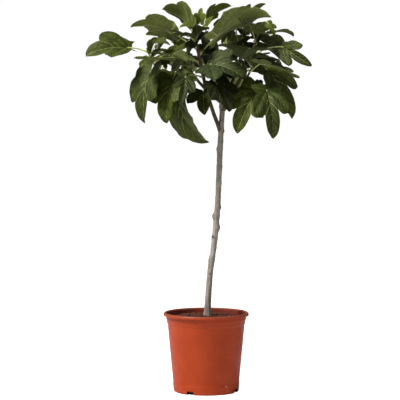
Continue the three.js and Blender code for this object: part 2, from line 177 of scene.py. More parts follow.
def effect(name, inputs, outputs):
    """An empty node group that takes coordinates and named values, and puts out named masks."""
    group = bpy.data.node_groups.new(name, "ShaderNodeTree")
    group.interface.new_socket("Vector", in_out="INPUT", socket_type="NodeSocketVector")
    for label, value in inputs.items():
        socket = group.interface.new_socket(label, in_out="INPUT", socket_type="NodeSocketFloat")
        socket.default_value = value
    for label in outputs:
        group.interface.new_socket(label, in_out="OUTPUT", socket_type="NodeSocketFloat")
    given, put_out = group.nodes.new("NodeGroupInput"), group.nodes.new("NodeGroupOutput")
    return group, given.outputs, put_out.inputs


def ramp_mask(tree, value, low, high):
    """Spreads the values from low to high over 0 to 1."""
    inputs = {"Value": value, "From Min": low, "From Max": high}
    return node(tree, "ShaderNodeMapRange", inputs, interpolation_type="SMOOTHSTEP").outputs[0]


def soft_noise(tree, vector, scale, detail):
    inputs = {"Vector": vector, "Scale": scale, "Detail": detail}
    return node(tree, "ShaderNodeTexNoise", inputs).outputs[0]


def stretched(tree, vector, factors):
    """Coordinates multiplied axis by axis, which draws a pattern out or flattens it."""
    return node(tree, "ShaderNodeVectorMath", {0: vector, 1: factors}, operation="MULTIPLY").outputs[0]


# %% [markdown]
# Mottle is broad soft patches with a fine speckle on top of them. Fibres are noise drawn out along
# the stem, with flat lens-shaped pores across it. The net is the mesh of smallest veins in a blade:
# the walls between cells. Noise keeps mostly near its middle value, so each mask spreads just that
# middle range from 0 to 1. A range given from high to low turns the mask over.

# %% Build the shared effects
mottle, given, masks = effect("mottle", {"Patch Scale": 20.0, "Speckle Scale": 400.0}, ("Patches", "Speckle"))
broad = soft_noise(mottle, given["Vector"], given["Patch Scale"], 3.0)
fine = soft_noise(mottle, given["Vector"], given["Speckle Scale"], 4.0)
mottle.links.new(ramp_mask(mottle, broad, 0.34, 0.66), masks["Patches"])
mottle.links.new(ramp_mask(mottle, fine, 0.3, 0.7), masks["Speckle"])

FLAT_PORES, PORE_SCALE = (1.0, 1.0, 2.6), 95.0
fibres, given, masks = effect("fibres", {"Fineness": 260.0, "Stretch": 0.07}, ("Streaks", "Pores"))
squash = node(fibres, "ShaderNodeCombineXYZ", {"X": 1.0, "Y": 1.0, "Z": given["Stretch"]}).outputs[0]
streaks = soft_noise(fibres, stretched(fibres, given["Vector"], squash), given["Fineness"], 5.0)
flat = stretched(fibres, given["Vector"], FLAT_PORES)
pores = node(fibres, "ShaderNodeTexVoronoi", {"Vector": flat, "Scale": PORE_SCALE, "Randomness": 1.0})
fibres.links.new(ramp_mask(fibres, streaks, 0.32, 0.68), masks["Streaks"])
fibres.links.new(ramp_mask(fibres, pores.outputs[0], 0.24, 0.1), masks["Pores"])

net, given, masks = effect("vein_net", {"Cells": 24.0}, ("Lines", "Pillows"))
inputs = {"Vector": given["Vector"], "Scale": given["Cells"]}
cells = node(net, "ShaderNodeTexVoronoi", inputs, feature="DISTANCE_TO_EDGE").outputs[0]
net.links.new(ramp_mask(net, cells, 0.07, 0.0), masks["Lines"])
net.links.new(ramp_mask(net, cells, 0.0, 0.3), masks["Pillows"])
print("shared effects:", [g.name for g in bpy.data.node_groups])

# %% [markdown]
# Every finish goes together in the same steps: coordinates, effects, colours that a mask blends, and
# relief. A small class holds the tree, the shader and the coordinates of the material in hand, so
# that each finish below takes only a few lines.

# %% A material under construction


class Finish:
    """A material under construction: its tree, its shader and its coordinates."""

    def __init__(self, name, map_name=None):
        self.material = bpy.data.materials.new(name)
        self.material.use_nodes = True
        self.tree = self.material.node_tree
        self.shader = self.tree.nodes["Principled BSDF"]
        if map_name:
            self.place = node(self.tree, "ShaderNodeUVMap", uv_map=map_name).outputs[0]
        else:
            self.place = node(self.tree, "ShaderNodeTexCoord").outputs["Object"]

    def use(self, group, **values):
        """Places a shared effect with values of its own, and gives its masks."""
        placed = node(self.tree, "ShaderNodeGroup", node_tree=group)
        self.tree.links.new(self.place, placed.inputs["Vector"])
        for key, value in values.items():
            placed.inputs[key.replace("_", " ")].default_value = value
        return placed.outputs

    def blend(self, mask, low, high, strength=1.0):
        """A colour between two others, by a mask. A Mix node's colours are its sockets 6 and 7."""
        share = node(self.tree, "ShaderNodeMath", {0: mask, 1: strength}, operation="MULTIPLY")
        mixed = node(self.tree, "ShaderNodeMix", data_type="RGBA")
        for socket, value in ((0, share.outputs[0]), (6, low), (7, high)):
            feed(self.tree, mixed.inputs[socket], value)
        return mixed.outputs[2]

    def level(self, mask, low, high):
        """A number between two others, by a mask."""
        inputs = {"Value": mask, "To Min": low, "To Max": high}
        return node(self.tree, "ShaderNodeMapRange", inputs).outputs[0]

    def set(self, **sockets):
        for key, value in sockets.items():
            feed(self.tree, self.shader.inputs[key.replace("_", " ")], value)

    def bump(self, height, distance_mm, strength=1.0, under=None):
        """Relief from a height mask, on top of another bump where there is one."""
        inputs = {"Height": height, "Distance": distance_mm * MM, "Strength": strength}
        if under:
            inputs["Normal"] = under
        made = node(self.tree, "ShaderNodeBump", inputs).outputs[0]
        self.tree.links.new(made, self.shader.inputs["Normal"])
        return made


# %% [markdown]
# ## The pot's plastic
# A nursery pot is thin moulded plastic, terracotta in colour with a satin gloss that mirrors a pale
# room along its edges. The colour is nearly even; what makes it read as used plastic is a faint
# mottling, and a surface that scatters light a little more in some places than in others. The lip's
# top is painted paler and greyer, as a painted sheen. Inside the rim the same plastic is painted
# darker, as painted shade, with a dark speckle of compost stain, and the drain notches are painted
# near black, as painted shade in their recesses.

# %% Terracotta plastic
LIP_SHEEN_HEIGHTS = (0.2145, 0.2205)  # heights in metres between which the lip turns paler
plastic = Finish("terracotta_plastic")
masks = plastic.use(mottle, Patch_Scale=26.0, Speckle_Scale=900.0)
height = node(plastic.tree, "ShaderNodeSeparateXYZ", {0: plastic.place}).outputs["Z"]
# The lip's top is painted paler and greyer: a painted sheen of the pale room.
lip_sheen = ramp_mask(plastic.tree, height, *LIP_SHEEN_HEIGHTS)
tone = plastic.blend(masks["Patches"], colour(186, 67, 21), colour(179, 63, 18))
plastic.set(
    Base_Color=plastic.blend(lip_sheen, tone, colour(152, 78, 58), 0.85),
    Roughness=plastic.level(masks["Patches"], 0.36, 0.44),
    IOR=1.5,
    Specular_IOR_Level=0.25,
)
plastic.bump(masks["Speckle"], 0.08, 0.5)

# The inner wall is painted darker, as painted shade inside the pot, with a dark speckle of compost stain.
inner_stain_and_shade = Finish("inner_wall_stain_and_painted_shade")
masks = inner_stain_and_shade.use(mottle, Patch_Scale=45.0, Speckle_Scale=500.0)
tone = inner_stain_and_shade.blend(masks["Patches"], colour(150, 56, 33), colour(118, 48, 30))
inner_stain_and_shade.set(
    Base_Color=inner_stain_and_shade.blend(masks["Speckle"], tone, colour(74, 40, 28), 0.6),
    Roughness=inner_stain_and_shade.level(masks["Speckle"], 0.6, 0.85),
    Specular_IOR_Level=0.25,
)

# The drain notches are painted near black: painted shade in their recesses.
notch_shade = Finish("drain_painted_shade")
masks = notch_shade.use(mottle, Patch_Scale=90.0, Speckle_Scale=700.0)
notch_shade.set(
    Base_Color=notch_shade.blend(masks["Speckle"], colour(22, 12, 9), colour(42, 24, 17)),
    Roughness=notch_shade.level(masks["Patches"], 0.85, 0.95),
    Specular_IOR_Level=0.1,
)

# %% [markdown]
# ## The pot
# The real pot is a body of revolution: a tapering wall, a collar band that lets pots stack, and a
# lip rolled outwards and down. It could be built ring by ring with extrusions, but a potter's way is
# easier to control: half its section is drawn as a line and spun about the upright axis. The corners
# of the line are rounded first, since moulded plastic has no sharp edge.

# %% Helpers: a rounded section, spun about the axis
POT_STEPS = 128
# In mm: the thickness of wall and floor, the radii of foot, body, neck and rim, and two heights.
WALL, FLOOR = 2.0, 4.0
FOOT, BODY, NECK, RIM = 91.5, 108.0, 112.5, 120.0
COLLAR, TOP = 191.0, 222.0


def wall_radius(z):
    """The outer wall's radius at a height below the collar."""
    return mix(FOOT, BODY, z / (COLLAR - 3))


def bezier(start, bend, end, t):
    return (1 - t) ** 2 * start + 2 * t * (1 - t) * bend + t * t * end


def rounded(section):
    """Rounds the corners of a section of (radius, height, rounding) rows."""
    line = [section[0][:2]]
    for before, corner, after in zip(section, section[1:], section[2:]):
        here = np.array(corner[:2], float)
        if not corner[2]:
            line.append(tuple(here))
            continue
        back, on = np.array(before[:2]) - here, np.array(after[:2]) - here
        cut = min(corner[2], 0.45 * np.linalg.norm(back), 0.45 * np.linalg.norm(on))
        start, end = here + unit(back) * cut, here + unit(on) * cut
        line += [tuple(bezier(start, here, end, t)) for t in (0.0, 0.25, 0.5, 0.75, 1.0)]
    return line + [section[-1][:2]]


def spun(name, section, steps, material):
    """A closed body of revolution, from a section that starts and ends on the axis."""
    clear_selection()
    line = rounded(section)
    edges = [(i, i + 1) for i in range(len(line) - 1)]
    mesh = bpy.data.meshes.new(name)
    mesh.from_pydata([(r * MM, 0, z * MM) for r, z in line], edges, [])
    mesh.materials.append(material)
    piece = bpy.data.objects.new(name, mesh)
    bpy.context.scene.collection.objects.link(piece)
    take(piece)
    bpy.ops.object.mode_set(mode="EDIT")
    bpy.ops.mesh.select_all(action="SELECT")
    bpy.ops.mesh.spin(steps=steps, angle=2 * math.pi, center=(0, 0, 0), axis=(0, 0, 1))
    bpy.ops.mesh.select_all(action="SELECT")
    bpy.ops.mesh.remove_doubles(threshold=0.00001)
    bpy.ops.mesh.normals_make_consistent(inside=False)
    bpy.ops.object.mode_set(mode="OBJECT")
    return piece


# %% [markdown]
# The section starts at the middle of the underside, which has a boss, a shallow groove and a foot
# ring. It climbs the wall and the neck, turns over the lip, and comes down inside to the middle of
# the floor. Each row is a corner: its radius, its height, and how far it is rounded.

# %% Draw the pot's section and spin it
pot = spun(
    "pot_shell",
    [
        # underside and foot
        (0, 0, 0), (26, 0, 0.6), (28, 1.6, 0.6), (66, 1.6, 0.6), (68, 0, 0.6), (FOOT - 1.2, 0, 1.2),
        (wall_radius(3), 2.6, 0.6), (wall_radius(24.5), 24.5, 0.7), (wall_radius(26) - 1.0, 26, 0.7),
        # wall, collar and neck
        (wall_radius(70) - 0.5, 70, 6), (wall_radius(COLLAR - 3), COLLAR - 3, 1.2),
        (NECK - 2.6, COLLAR + 2, 1.4), (NECK - 1.7, COLLAR + 9, 0.8), (NECK - 0.2, COLLAR + 11.6, 1.0),
        (NECK + 0.4, TOP - 5, 2.2),
        # the lip, rolled outwards and down
        (RIM - 3.2, TOP - 4.6, 2.0), (RIM - 2.6, TOP - 8.6, 0.5), (RIM - 0.6, TOP - 9, 0.9),
        (RIM, TOP - 7, 2.2), (RIM - 0.2, TOP - 3.4, 3.2), (RIM - 3.4, TOP, 2.6), (RIM - 6, TOP - 0.6, 1.6),
        # inner wall and floor
        (NECK - WALL + 0.4, TOP - 4.4, 2.0), (NECK - 2.4 - WALL, COLLAR + 2, 1.5),
        (wall_radius(COLLAR - 3) - WALL, COLLAR - 3, 1.5), (wall_radius(8) - WALL, 8, 2.5),
        (wall_radius(4) - WALL - 3, FLOOR, 1.5), (0, FLOOR, 0),
    ],
    POT_STEPS,
    plastic.material,
)
print("pot section spun:", len(pot.data.vertices), "points")

# %% [markdown]
# The foot has five drain notches. Each is the bite of a rounded block, so one block is modelled with
# its edges bevelled, and a Boolean modifier takes it out of the shell at each place. Faces are then
# given their finish by where they lie: the inner wall gets its speckle of compost stain and is painted
# darker as painted shade, and the notches are painted near black as painted shade.

# %% Cut the drain notches
DRAINS = (-176, -119, -24, 40, 112)  # compass angles
NOTCH_BLOCK, NOTCH_ROUNDING = (0.02, 0.0215, 0.0206), 0.0022  # metres
INNER_STAIN_AND_SHADE = (8, TOP - 2.4)  # heights between which the inner wall has compost stain and is painted darker, as painted shade
NOTCH_SHADE_RADII, NOTCH_SHADE_HEIGHTS = (78, FOOT - 0.6), (0.2, 11)


def bevelled(width):
    """Moves the place of the primitive just added into its mesh, and rounds all its edges."""
    bpy.ops.object.transform_apply(location=True, rotation=True, scale=True)
    bpy.ops.object.mode_set(mode="EDIT")
    bpy.ops.mesh.bevel(offset=width, segments=3, affect="EDGES")
    bpy.ops.object.mode_set(mode="OBJECT")
    return bpy.context.object


for compass in DRAINS:
    clear_selection()
    angle = math.radians(compass)
    spot = (FOOT * math.cos(angle) * MM, FOOT * math.sin(angle) * MM, 0)
    bpy.ops.mesh.primitive_cube_add(size=1, location=spot, rotation=(0, 0, angle), scale=NOTCH_BLOCK)
    block = bevelled(NOTCH_ROUNDING)
    take(pot)
    bite = pot.modifiers.new("bite", "BOOLEAN")
    bite.object, bite.operation, bite.solver = block, "DIFFERENCE", "EXACT"
    bpy.ops.object.modifier_apply(modifier="bite")
    bpy.data.objects.remove(block)
pot.data.materials.append(inner_stain_and_shade.material)
pot.data.materials.append(notch_shade.material)
for face in pot.data.polygons:
    away, z = face.center.xy.length / MM, face.center.z / MM
    inwards = face.center.xy.dot(face.normal.xy) < 0
    # The inner wall: compost stain and painted shade.
    if inwards and INNER_STAIN_AND_SHADE[0] < z < INNER_STAIN_AND_SHADE[1]:
        face.material_index = 1
    # Faces inside the notches: painted shade.
    elif NOTCH_SHADE_RADII[0] < away < NOTCH_SHADE_RADII[1] and NOTCH_SHADE_HEIGHTS[0] < z < NOTCH_SHADE_HEIGHTS[1]:
        face.material_index = 2
take(pot)
bpy.ops.object.shade_smooth_by_angle(angle=math.radians(32))
finish_piece(pot, "pot", "pot")

# %% [markdown]
# A small pale pip near the foot is where the plastic flowed into the mould. It is a short cylinder
# with a rounded end, set into the wall.

# %% The moulding pip
PIP = {"compass": -53.5, "height": 23.5, "radius": 3.2, "proud": 0.8, "sunk": 0.8}
pip_plastic = Finish("pip_plastic")
masks = pip_plastic.use(mottle, Patch_Scale=90.0, Speckle_Scale=900.0)
pip_plastic.set(
    Base_Color=pip_plastic.blend(masks["Patches"], colour(206, 150, 92), colour(190, 130, 76)),
    Roughness=pip_plastic.level(masks["Speckle"], 0.4, 0.5),
)
clear_selection()
angle = math.radians(PIP["compass"])
away = (wall_radius(PIP["height"]) - PIP["sunk"]) * MM
bpy.ops.mesh.primitive_cylinder_add(
    vertices=20, radius=PIP["radius"] * MM, depth=2 * (PIP["proud"] + PIP["sunk"]) * MM,
    location=(away * math.cos(angle), away * math.sin(angle), PIP["height"] * MM),
    rotation=(0, math.pi / 2, angle),
)
pip = bevelled(0.0006)
pip.name = "pot_pip"
pip.data.materials.append(pip_plastic.material)
bpy.ops.object.shade_smooth_by_angle(angle=math.radians(40))
finish_piece(pip, "pot")

# %% [markdown]
# ## The compost
# Moist peat and bark fines reach 9 mm under the rim round the stem, where they heap a little, and
# sink to about 18 mm under it at the wall. The body is spun like the pot, its top ring by ring, and
# then each point of the top is lifted by noise.

# %% Compost: body, rough top, and the finish
compost = Finish("moist_compost")
masks = compost.use(mottle, Patch_Scale=70.0, Speckle_Scale=520.0)
compost.set(
    Base_Color=compost.blend(masks["Speckle"], colour(40, 18, 11), colour(112, 58, 36)),
    Roughness=compost.level(masks["Patches"], 0.82, 0.97),
)
compost.bump(masks["Speckle"], 1.6, 0.9)

SOIL_TOP, SOIL_EDGE = 213.0, 109.0
SINK = 9.0  # how much lower the compost lies at the wall than round the stem


def soil_height(away):
    return SOIL_TOP - SINK * (away / SOIL_EDGE) ** 3


def soil_relief(x, y):
    """What the rough top adds: lumps and crumbs that fade at the wall, and a heap at the stem."""
    away = math.hypot(x, y)
    rough = noise.noise(Vector((x, y, 3)) * 0.09) * 2.4 + noise.noise(Vector((x, y, 9)) * 0.35) * 1.7
    fade = min(1, (SOIL_EDGE - away) / 6)
    return rough * max(fade, 0.15) + 1.6 * math.exp(-((away / 24) ** 2)) - 0.6


SOIL_STEPS = 150
heap = [(away, soil_height(away), 0) for away in np.linspace(SOIL_EDGE - 3, 4, 42)]
soil = spun(
    "compost",
    [
        (0, 4.6, 0), (85, 4.6, 1), (89, 10, 1), (wall_radius(186) - 3, 186, 1), (107.4, 194, 1),
        (SOIL_EDGE - 0.6, SOIL_TOP - SINK - 1.5, 0.5), *heap, (0, SOIL_TOP, 0),
    ],
    SOIL_STEPS,
    compost.material,
)
for vertex in soil.data.vertices:
    x, y, z = (c / MM for c in vertex.co)
    if z > SOIL_TOP - SINK - 0.9:
        vertex.co.z += soil_relief(x, y) * MM
soil.data.update()
take(soil)
bpy.ops.object.shade_smooth()
finish_piece(soil, "soil", "soil")

# %% [markdown]
# The coarse bits that lie on the compost are a few hundred small chips, too many to model one by
# one. One ball of 20 faces is read as arrays, and each chip is a roughened, flattened copy of it at
# a seeded place, size and turn.

# %% Chips of bark on the compost
CHIPS, LARGE_CHIP = 620, 1.7  # how many, and how much larger one in seven is
chip_wood = Finish("bark_chips")
masks = chip_wood.use(mottle, Patch_Scale=160.0, Speckle_Scale=900.0)
chip_wood.set(
    Base_Color=chip_wood.blend(masks["Patches"], colour(66, 32, 20), colour(142, 82, 52)),
    Roughness=chip_wood.level(masks["Speckle"], 0.75, 0.95),
)
chip_wood.bump(masks["Speckle"], 0.4, 0.6)

clear_selection()
bpy.ops.mesh.primitive_ico_sphere_add(subdivisions=1, radius=1)
pattern = bpy.context.object
chip_points = np.array([v.co[:] for v in pattern.data.vertices])
chip_faces = [tuple(f.vertices) for f in pattern.data.polygons]
bpy.data.objects.remove(pattern)


def turned(points, angle, a, b):
    """Rows of points, turned by an angle in the plane of axes a and b."""
    matrix = np.eye(3)
    matrix[a, a] = matrix[b, b] = math.cos(angle)
    matrix[a, b], matrix[b, a] = math.sin(angle), -math.sin(angle)
    return points @ matrix


draw = np.random.default_rng(4)
chips = Gathering()
for _ in range(CHIPS):
    away, around = math.sqrt(draw.uniform(0.012, 0.94)) * SOIL_EDGE, draw.uniform(0, 2 * math.pi)
    size = draw.uniform(1.0, 2.2) * (1 if draw.uniform() < 0.86 else LARGE_CHIP)
    reach = size * draw.uniform(0.6, 1.5, 3) * (1.3, 0.8, 0.55)
    turn = draw.uniform(0, 2 * math.pi)
    shape = chip_points * (1 + draw.uniform(-0.28, 0.28, (len(chip_points), 1))) * reach
    tilt = draw.uniform(-0.5, 0.5)
    shape = turned(turned(shape, tilt, 0, 2), turn, 0, 1)
    lift = soil_height(away) + 0.3 + draw.uniform(-0.4, 0.9)
    chips.add(shape + (away * math.cos(around), away * math.sin(around), lift), chip_faces)
chips = chips.join("compost_chips", [chip_wood.material])
take(chips)
bpy.ops.object.shade_flat()
finish_piece(chips, "soil")

# %% [markdown]
# ## The stem's rule
# The stem leans and kinks where each year's growth began, tapers, swells at old leaf scars and
# pruning knobs, and flares a little at the root. The same rule as in the solid model is written here
# again: a smooth line through the bends, and a radius for each height. Only the relief is new, since
# the solid has the stem's bends and thickness but not its bark.

# %% The stem's line and radius
TRUNK_FOOT, TRUNK_TOP, TRUNK_THICK, TRUNK_THIN = 213.3, 824.0, 8.7, 7.4
FLARE, FLARE_HEIGHT = 3.2, 16.0
# Each bend: height, X and Y of the stem's line.
BENDS = (
    (213.3, 3, 0), (282, 7, -2), (342, 12, -3), (410, 22, -1), (477, 28.5, 2), (548, 33.5, 3),
    (636, 37, 1), (722, 41, -1), (824, 47, 0),
)
# Each knob: height, share of the radius, compass angle that it faces, and whether it is a scar.
KNOBS = (
    (300, 0.1, -60, 0), (372, 0.14, 190, 0), (434, 0.24, -125, 1), (459, 0.46, 5, 0),
    (492, 0.6, 178, 0), (517, 0.16, -14, 1), (582, 0.2, -84, 0), (630, 0.12, 40, 0),
    (680, 0.3, 182, 0), (730, 0.14, -20, 1), (800, 0.3, 150, 0),
)


def trunk_at(z):
    last = len(BENDS) - 1
    i = 0
    while i < last - 1 and z > BENDS[i + 1][0]:
        i += 1
    a, b = BENDS[i], BENDS[i + 1]

    def slope(k, axis):
        p, q = BENDS[max(k - 1, 0)], BENDS[min(k + 1, last)]
        return (q[axis] - p[axis]) / (q[0] - p[0])

    rise = b[0] - a[0]
    t = (z - a[0]) / rise

    def along(axis):
        return (
            a[axis] * (2 * t**3 - 3 * t**2 + 1)
            + b[axis] * (3 * t**2 - 2 * t**3)
            + rise * slope(i, axis) * (t**3 - 2 * t**2 + t)
            + rise * slope(i + 1, axis) * (t**3 - t**2)
        )

    return np.array([along(1), along(2), z])


def trunk_radius(z, compass):
    plain = mix(TRUNK_THICK, TRUNK_THIN, (z - TRUNK_FOOT) / (TRUNK_TOP - TRUNK_FOOT))
    swell = 0.0
    for at, share, faces, _ in KNOBS:
        side = 0.5 + 0.5 * math.cos(math.radians(compass - faces))
        swell += share * math.exp(-(((z - at) / 9) ** 2)) * (0.2 + 0.95 * side**3)
    return plain * (1 + swell) + FLARE * math.exp(-max(z - TRUNK_FOOT, 0) / FLARE_HEIGHT)


def bark_relief(x, y, z, seed, ring_gap=23.0):
    """How far the bark stands out, in mm: lumps, fibres and the rings of old leaf scars."""
    spot = Vector((x, y, z + seed * 57))
    lumps = noise.noise(spot * 0.06) * 0.55 + noise.noise(spot * 0.19) * 0.32
    fibre = noise.noise(Vector((x * 0.5, y * 0.5, z * 0.045 + seed))) * 0.34
    wander = 3.2 * noise.noise(Vector((seed, 0, z * 0.02))) + 1.6 * noise.noise(spot * 0.05)
    ring = math.exp(-((((z + wander) % ring_gap) - ring_gap / 2) ** 2) / 1.7)
    return lumps + fibre + 0.34 * ring


print("stem: foot at", trunk_at(TRUNK_FOOT).round(1), "head at", trunk_at(TRUNK_TOP).round(1))

# %% [markdown]
# Stem, boughs, shoots, stalks and buds are all tubes: rings of points round a route, joined into one
# closed skin. The frame of each ring is carried on from the ring before, so that the tube doesn't
# twist, and a relief may push each point out by what its rule says there.

# %% A tube round a route


def tube(gather, route, radii, sides, kind=0, relief=None):
    """A closed tube round a route. relief adds to the radius, given the point and its compass."""
    route, radii = np.asarray(route, float), np.asarray(radii, float)
    ways = np.gradient(route, axis=0)
    ways /= np.linalg.norm(ways, axis=1)[:, None]
    across = np.cross((0, 1, 0) if abs(ways[0][1]) < 0.9 else (1, 0, 0), ways[0])
    points = []
    for i, (centre, way) in enumerate(zip(route, ways)):
        across = unit(across - way * np.dot(across, way))
        other = np.cross(way, across)
        for k in range(sides):
            angle = 2 * math.pi * k / sides
            out = across * math.cos(angle) + other * math.sin(angle)
            radius = radii[i]
            if relief:
                radius += relief(centre + out * radii[i], math.degrees(math.atan2(out[1], out[0])))
            points.append(centre + out * radius)
    rows = len(route)
    faces = [
        (i * sides + k, i * sides + (k + 1) % sides, (i + 1) * sides + (k + 1) % sides, (i + 1) * sides + k)
        for i in range(rows - 1)
        for k in range(sides)
    ]
    kinds = [kind[i] if np.ndim(kind) else kind for i in range(rows - 1) for _ in range(sides)]
    points += [route[0], route[-1]]
    low, high = rows * sides, rows * sides + 1
    faces += [(low, (k + 1) % sides, k) for k in range(sides)]
    faces += [(high, (rows - 1) * sides + k, (rows - 1) * sides + (k + 1) % sides) for k in range(sides)]
    kinds += [kinds[0]] * sides + [kinds[-1]] * sides
    gather.add(points, faces, kinds)


# %% [markdown]
# ## The bark
# Fig bark is smooth and pale grey, with long fibres, flat pores and darker weather-worn patches.
# Those lie over a warmer brown that shows in the hollows. The wood inside the head is younger and
# browner, and it is also painted darker, as painted shade inside the head, so it has the same nodes
# with darker colours.

# %% Bark finishes


def bark(name, pale, warm, dark, pore):
    made = Finish(name)
    grain = made.use(fibres, Fineness=260.0, Stretch=0.07)
    patch = made.use(mottle, Patch_Scale=34.0, Speckle_Scale=700.0)
    tone = made.blend(patch["Patches"], pale, warm)
    tone = made.blend(grain["Streaks"], tone, dark, 0.55)
    made.set(
        Base_Color=made.blend(grain["Pores"], tone, pore, 0.8),
        Roughness=made.level(patch["Speckle"], 0.72, 0.92),
    )
    under = made.bump(grain["Streaks"], 0.5, 0.8)
    made.bump(grain["Pores"], 0.35, 0.7, under)
    return made.material


old_bark = bark(
    "old_bark", colour(182, 175, 165), colour(160, 148, 134), colour(106, 92, 78), colour(92, 74, 58)
)
# The wood of the boughs is browner, as young wood is, and painted darker, as painted shade inside the head.
young_bark_and_shade = bark(
    "young_bark_and_shade", colour(112, 98, 76), colour(92, 76, 54), colour(58, 44, 30), colour(140, 126, 100)
)
scar_bark = bark(
    "leaf_scars", colour(104, 74, 56), colour(86, 58, 44), colour(58, 38, 30), colour(120, 96, 74)
)

# %% [markdown]
# ## The stem
# A stem could be a curve with a thickness, but its knobs face one side each and its fibres run
# along it, so the tube is made ring by ring and each point is pushed out by the bark's relief. It
# goes a few millimetres down into the compost, as the real one does.

# %% The stem
STEM_CORE = 8.0  # radius of the plain tube that the relief starts from
stem = Gathering()
heights = np.concatenate([[206.0], np.linspace(TRUNK_FOOT, TRUNK_TOP, 470)])
route = [trunk_at(max(z, TRUNK_FOOT)) * (1, 1, 0) + (0, 0, z) for z in heights]


def stem_relief(point, compass):
    z = max(point[2], TRUNK_FOOT)
    return trunk_radius(z, compass) - STEM_CORE + bark_relief(*point, 1)


tube(stem, route, [STEM_CORE] * len(route), 40, 0, stem_relief)
stem = stem.join("stem", [old_bark])
finish_piece(stem, "bark", "trunk")

# %% [markdown]
# Where a leaf has dropped, a fig keeps a low oval scar of darker cork. Large ones sit on the knobs
# of the stem, and small ones are strewn up it between them.

# %% The stem's scars
LARGE_SCAR, SCAR_PROUD = (3.4, 4.6), 0.55
# Small scars: height, compass angle, half width and half height.
SMALL_SCARS = (
    (250, -40, 2.6, 1.8), (331, -100, 2.8, 1.9), (398, -60, 2.6, 1.8), (545, -150, 2.8, 1.9),
    (600, -70, 2.6, 1.7), (648, -140, 2.6, 1.8), (700, -60, 2.4, 1.7), (760, -120, 2.4, 1.6),
    (282, 120, 2.6, 1.8), (360, 60, 2.8, 1.9), (470, 100, 2.8, 1.9), (560, 70, 2.6, 1.8),
    (690, 110, 2.4, 1.7),
)


def pad(gather, centre, outward, wide, tall, proud):
    """A low oval cushion that lies on bark: a leaf scar."""
    outward, side = unit(outward), unit(np.cross((0, 0, 1), outward))
    up = np.cross(outward, side)
    points, faces = [], []
    for share, height in ((1.0, -0.9), (0.86, 0.35), (0.45, 0.8)):
        for k in range(12):
            angle = math.pi * k / 6
            points.append(
                centre + side * math.cos(angle) * wide * share + up * math.sin(angle) * tall * share
                + outward * proud * height
            )
    points += [centre + outward * proud * 0.55, centre - outward * proud]
    for ring in range(2):
        for k in range(12):
            a, b = ring * 12 + k, ring * 12 + (k + 1) % 12
            faces.append((a, b, b + 12, a + 12))
    faces += [(24 + k, 24 + (k + 1) % 12, 36) for k in range(12)]
    faces += [((k + 1) % 12, k, 37) for k in range(12)]
    gather.add(points, faces)


scars = Gathering()
large = [(z, compass, *LARGE_SCAR) for z, _, compass, is_scar in KNOBS if is_scar]
for z, compass, wide, tall in large + list(SMALL_SCARS):
    out = np.array([math.cos(math.radians(compass)), math.sin(math.radians(compass)), 0.0])
    radius = trunk_radius(z, compass)
    radius += bark_relief(*(trunk_at(z) + out * radius), 1)
    pad(scars, trunk_at(z) + out * radius, out, wide, tall, SCAR_PROUD)
finish_piece(scars.join("stem_scars", [scar_bark]), "bark")

# %% [markdown]
# ## The limbs
# Seven limbs leave the head of the stem. Each is one curve: a bare bough up to a share of its
# length, and a leafy shoot past that. The table is the one from the solid model, because the fine
# leaves have to grow where the solid masses are. A few leaves have a pose of their own: the heart,
# where the stalk meets the blade, the blade's tip, and where its upper side faces. A tone says
# which of the finishes such a leaf takes. Young leaves at listed places fill gaps near the middle.

# %% The limbs and the poses of their leaves


def pose(heart, tip, faces, spread, **more):
    """A large leaf with a given pose; faces is the compass angle and the rise that its upper side faces."""
    return {"heart": heart, "tip": tip, "faces": faces, "spread": spread, **more}


def sprout(along, heart, tip, spread):
    """A young leaf at a given place, whose stalk starts at a share along the leafy shoot."""
    return {"along": along, "heart": heart, "tip": tip, "spread": spread}


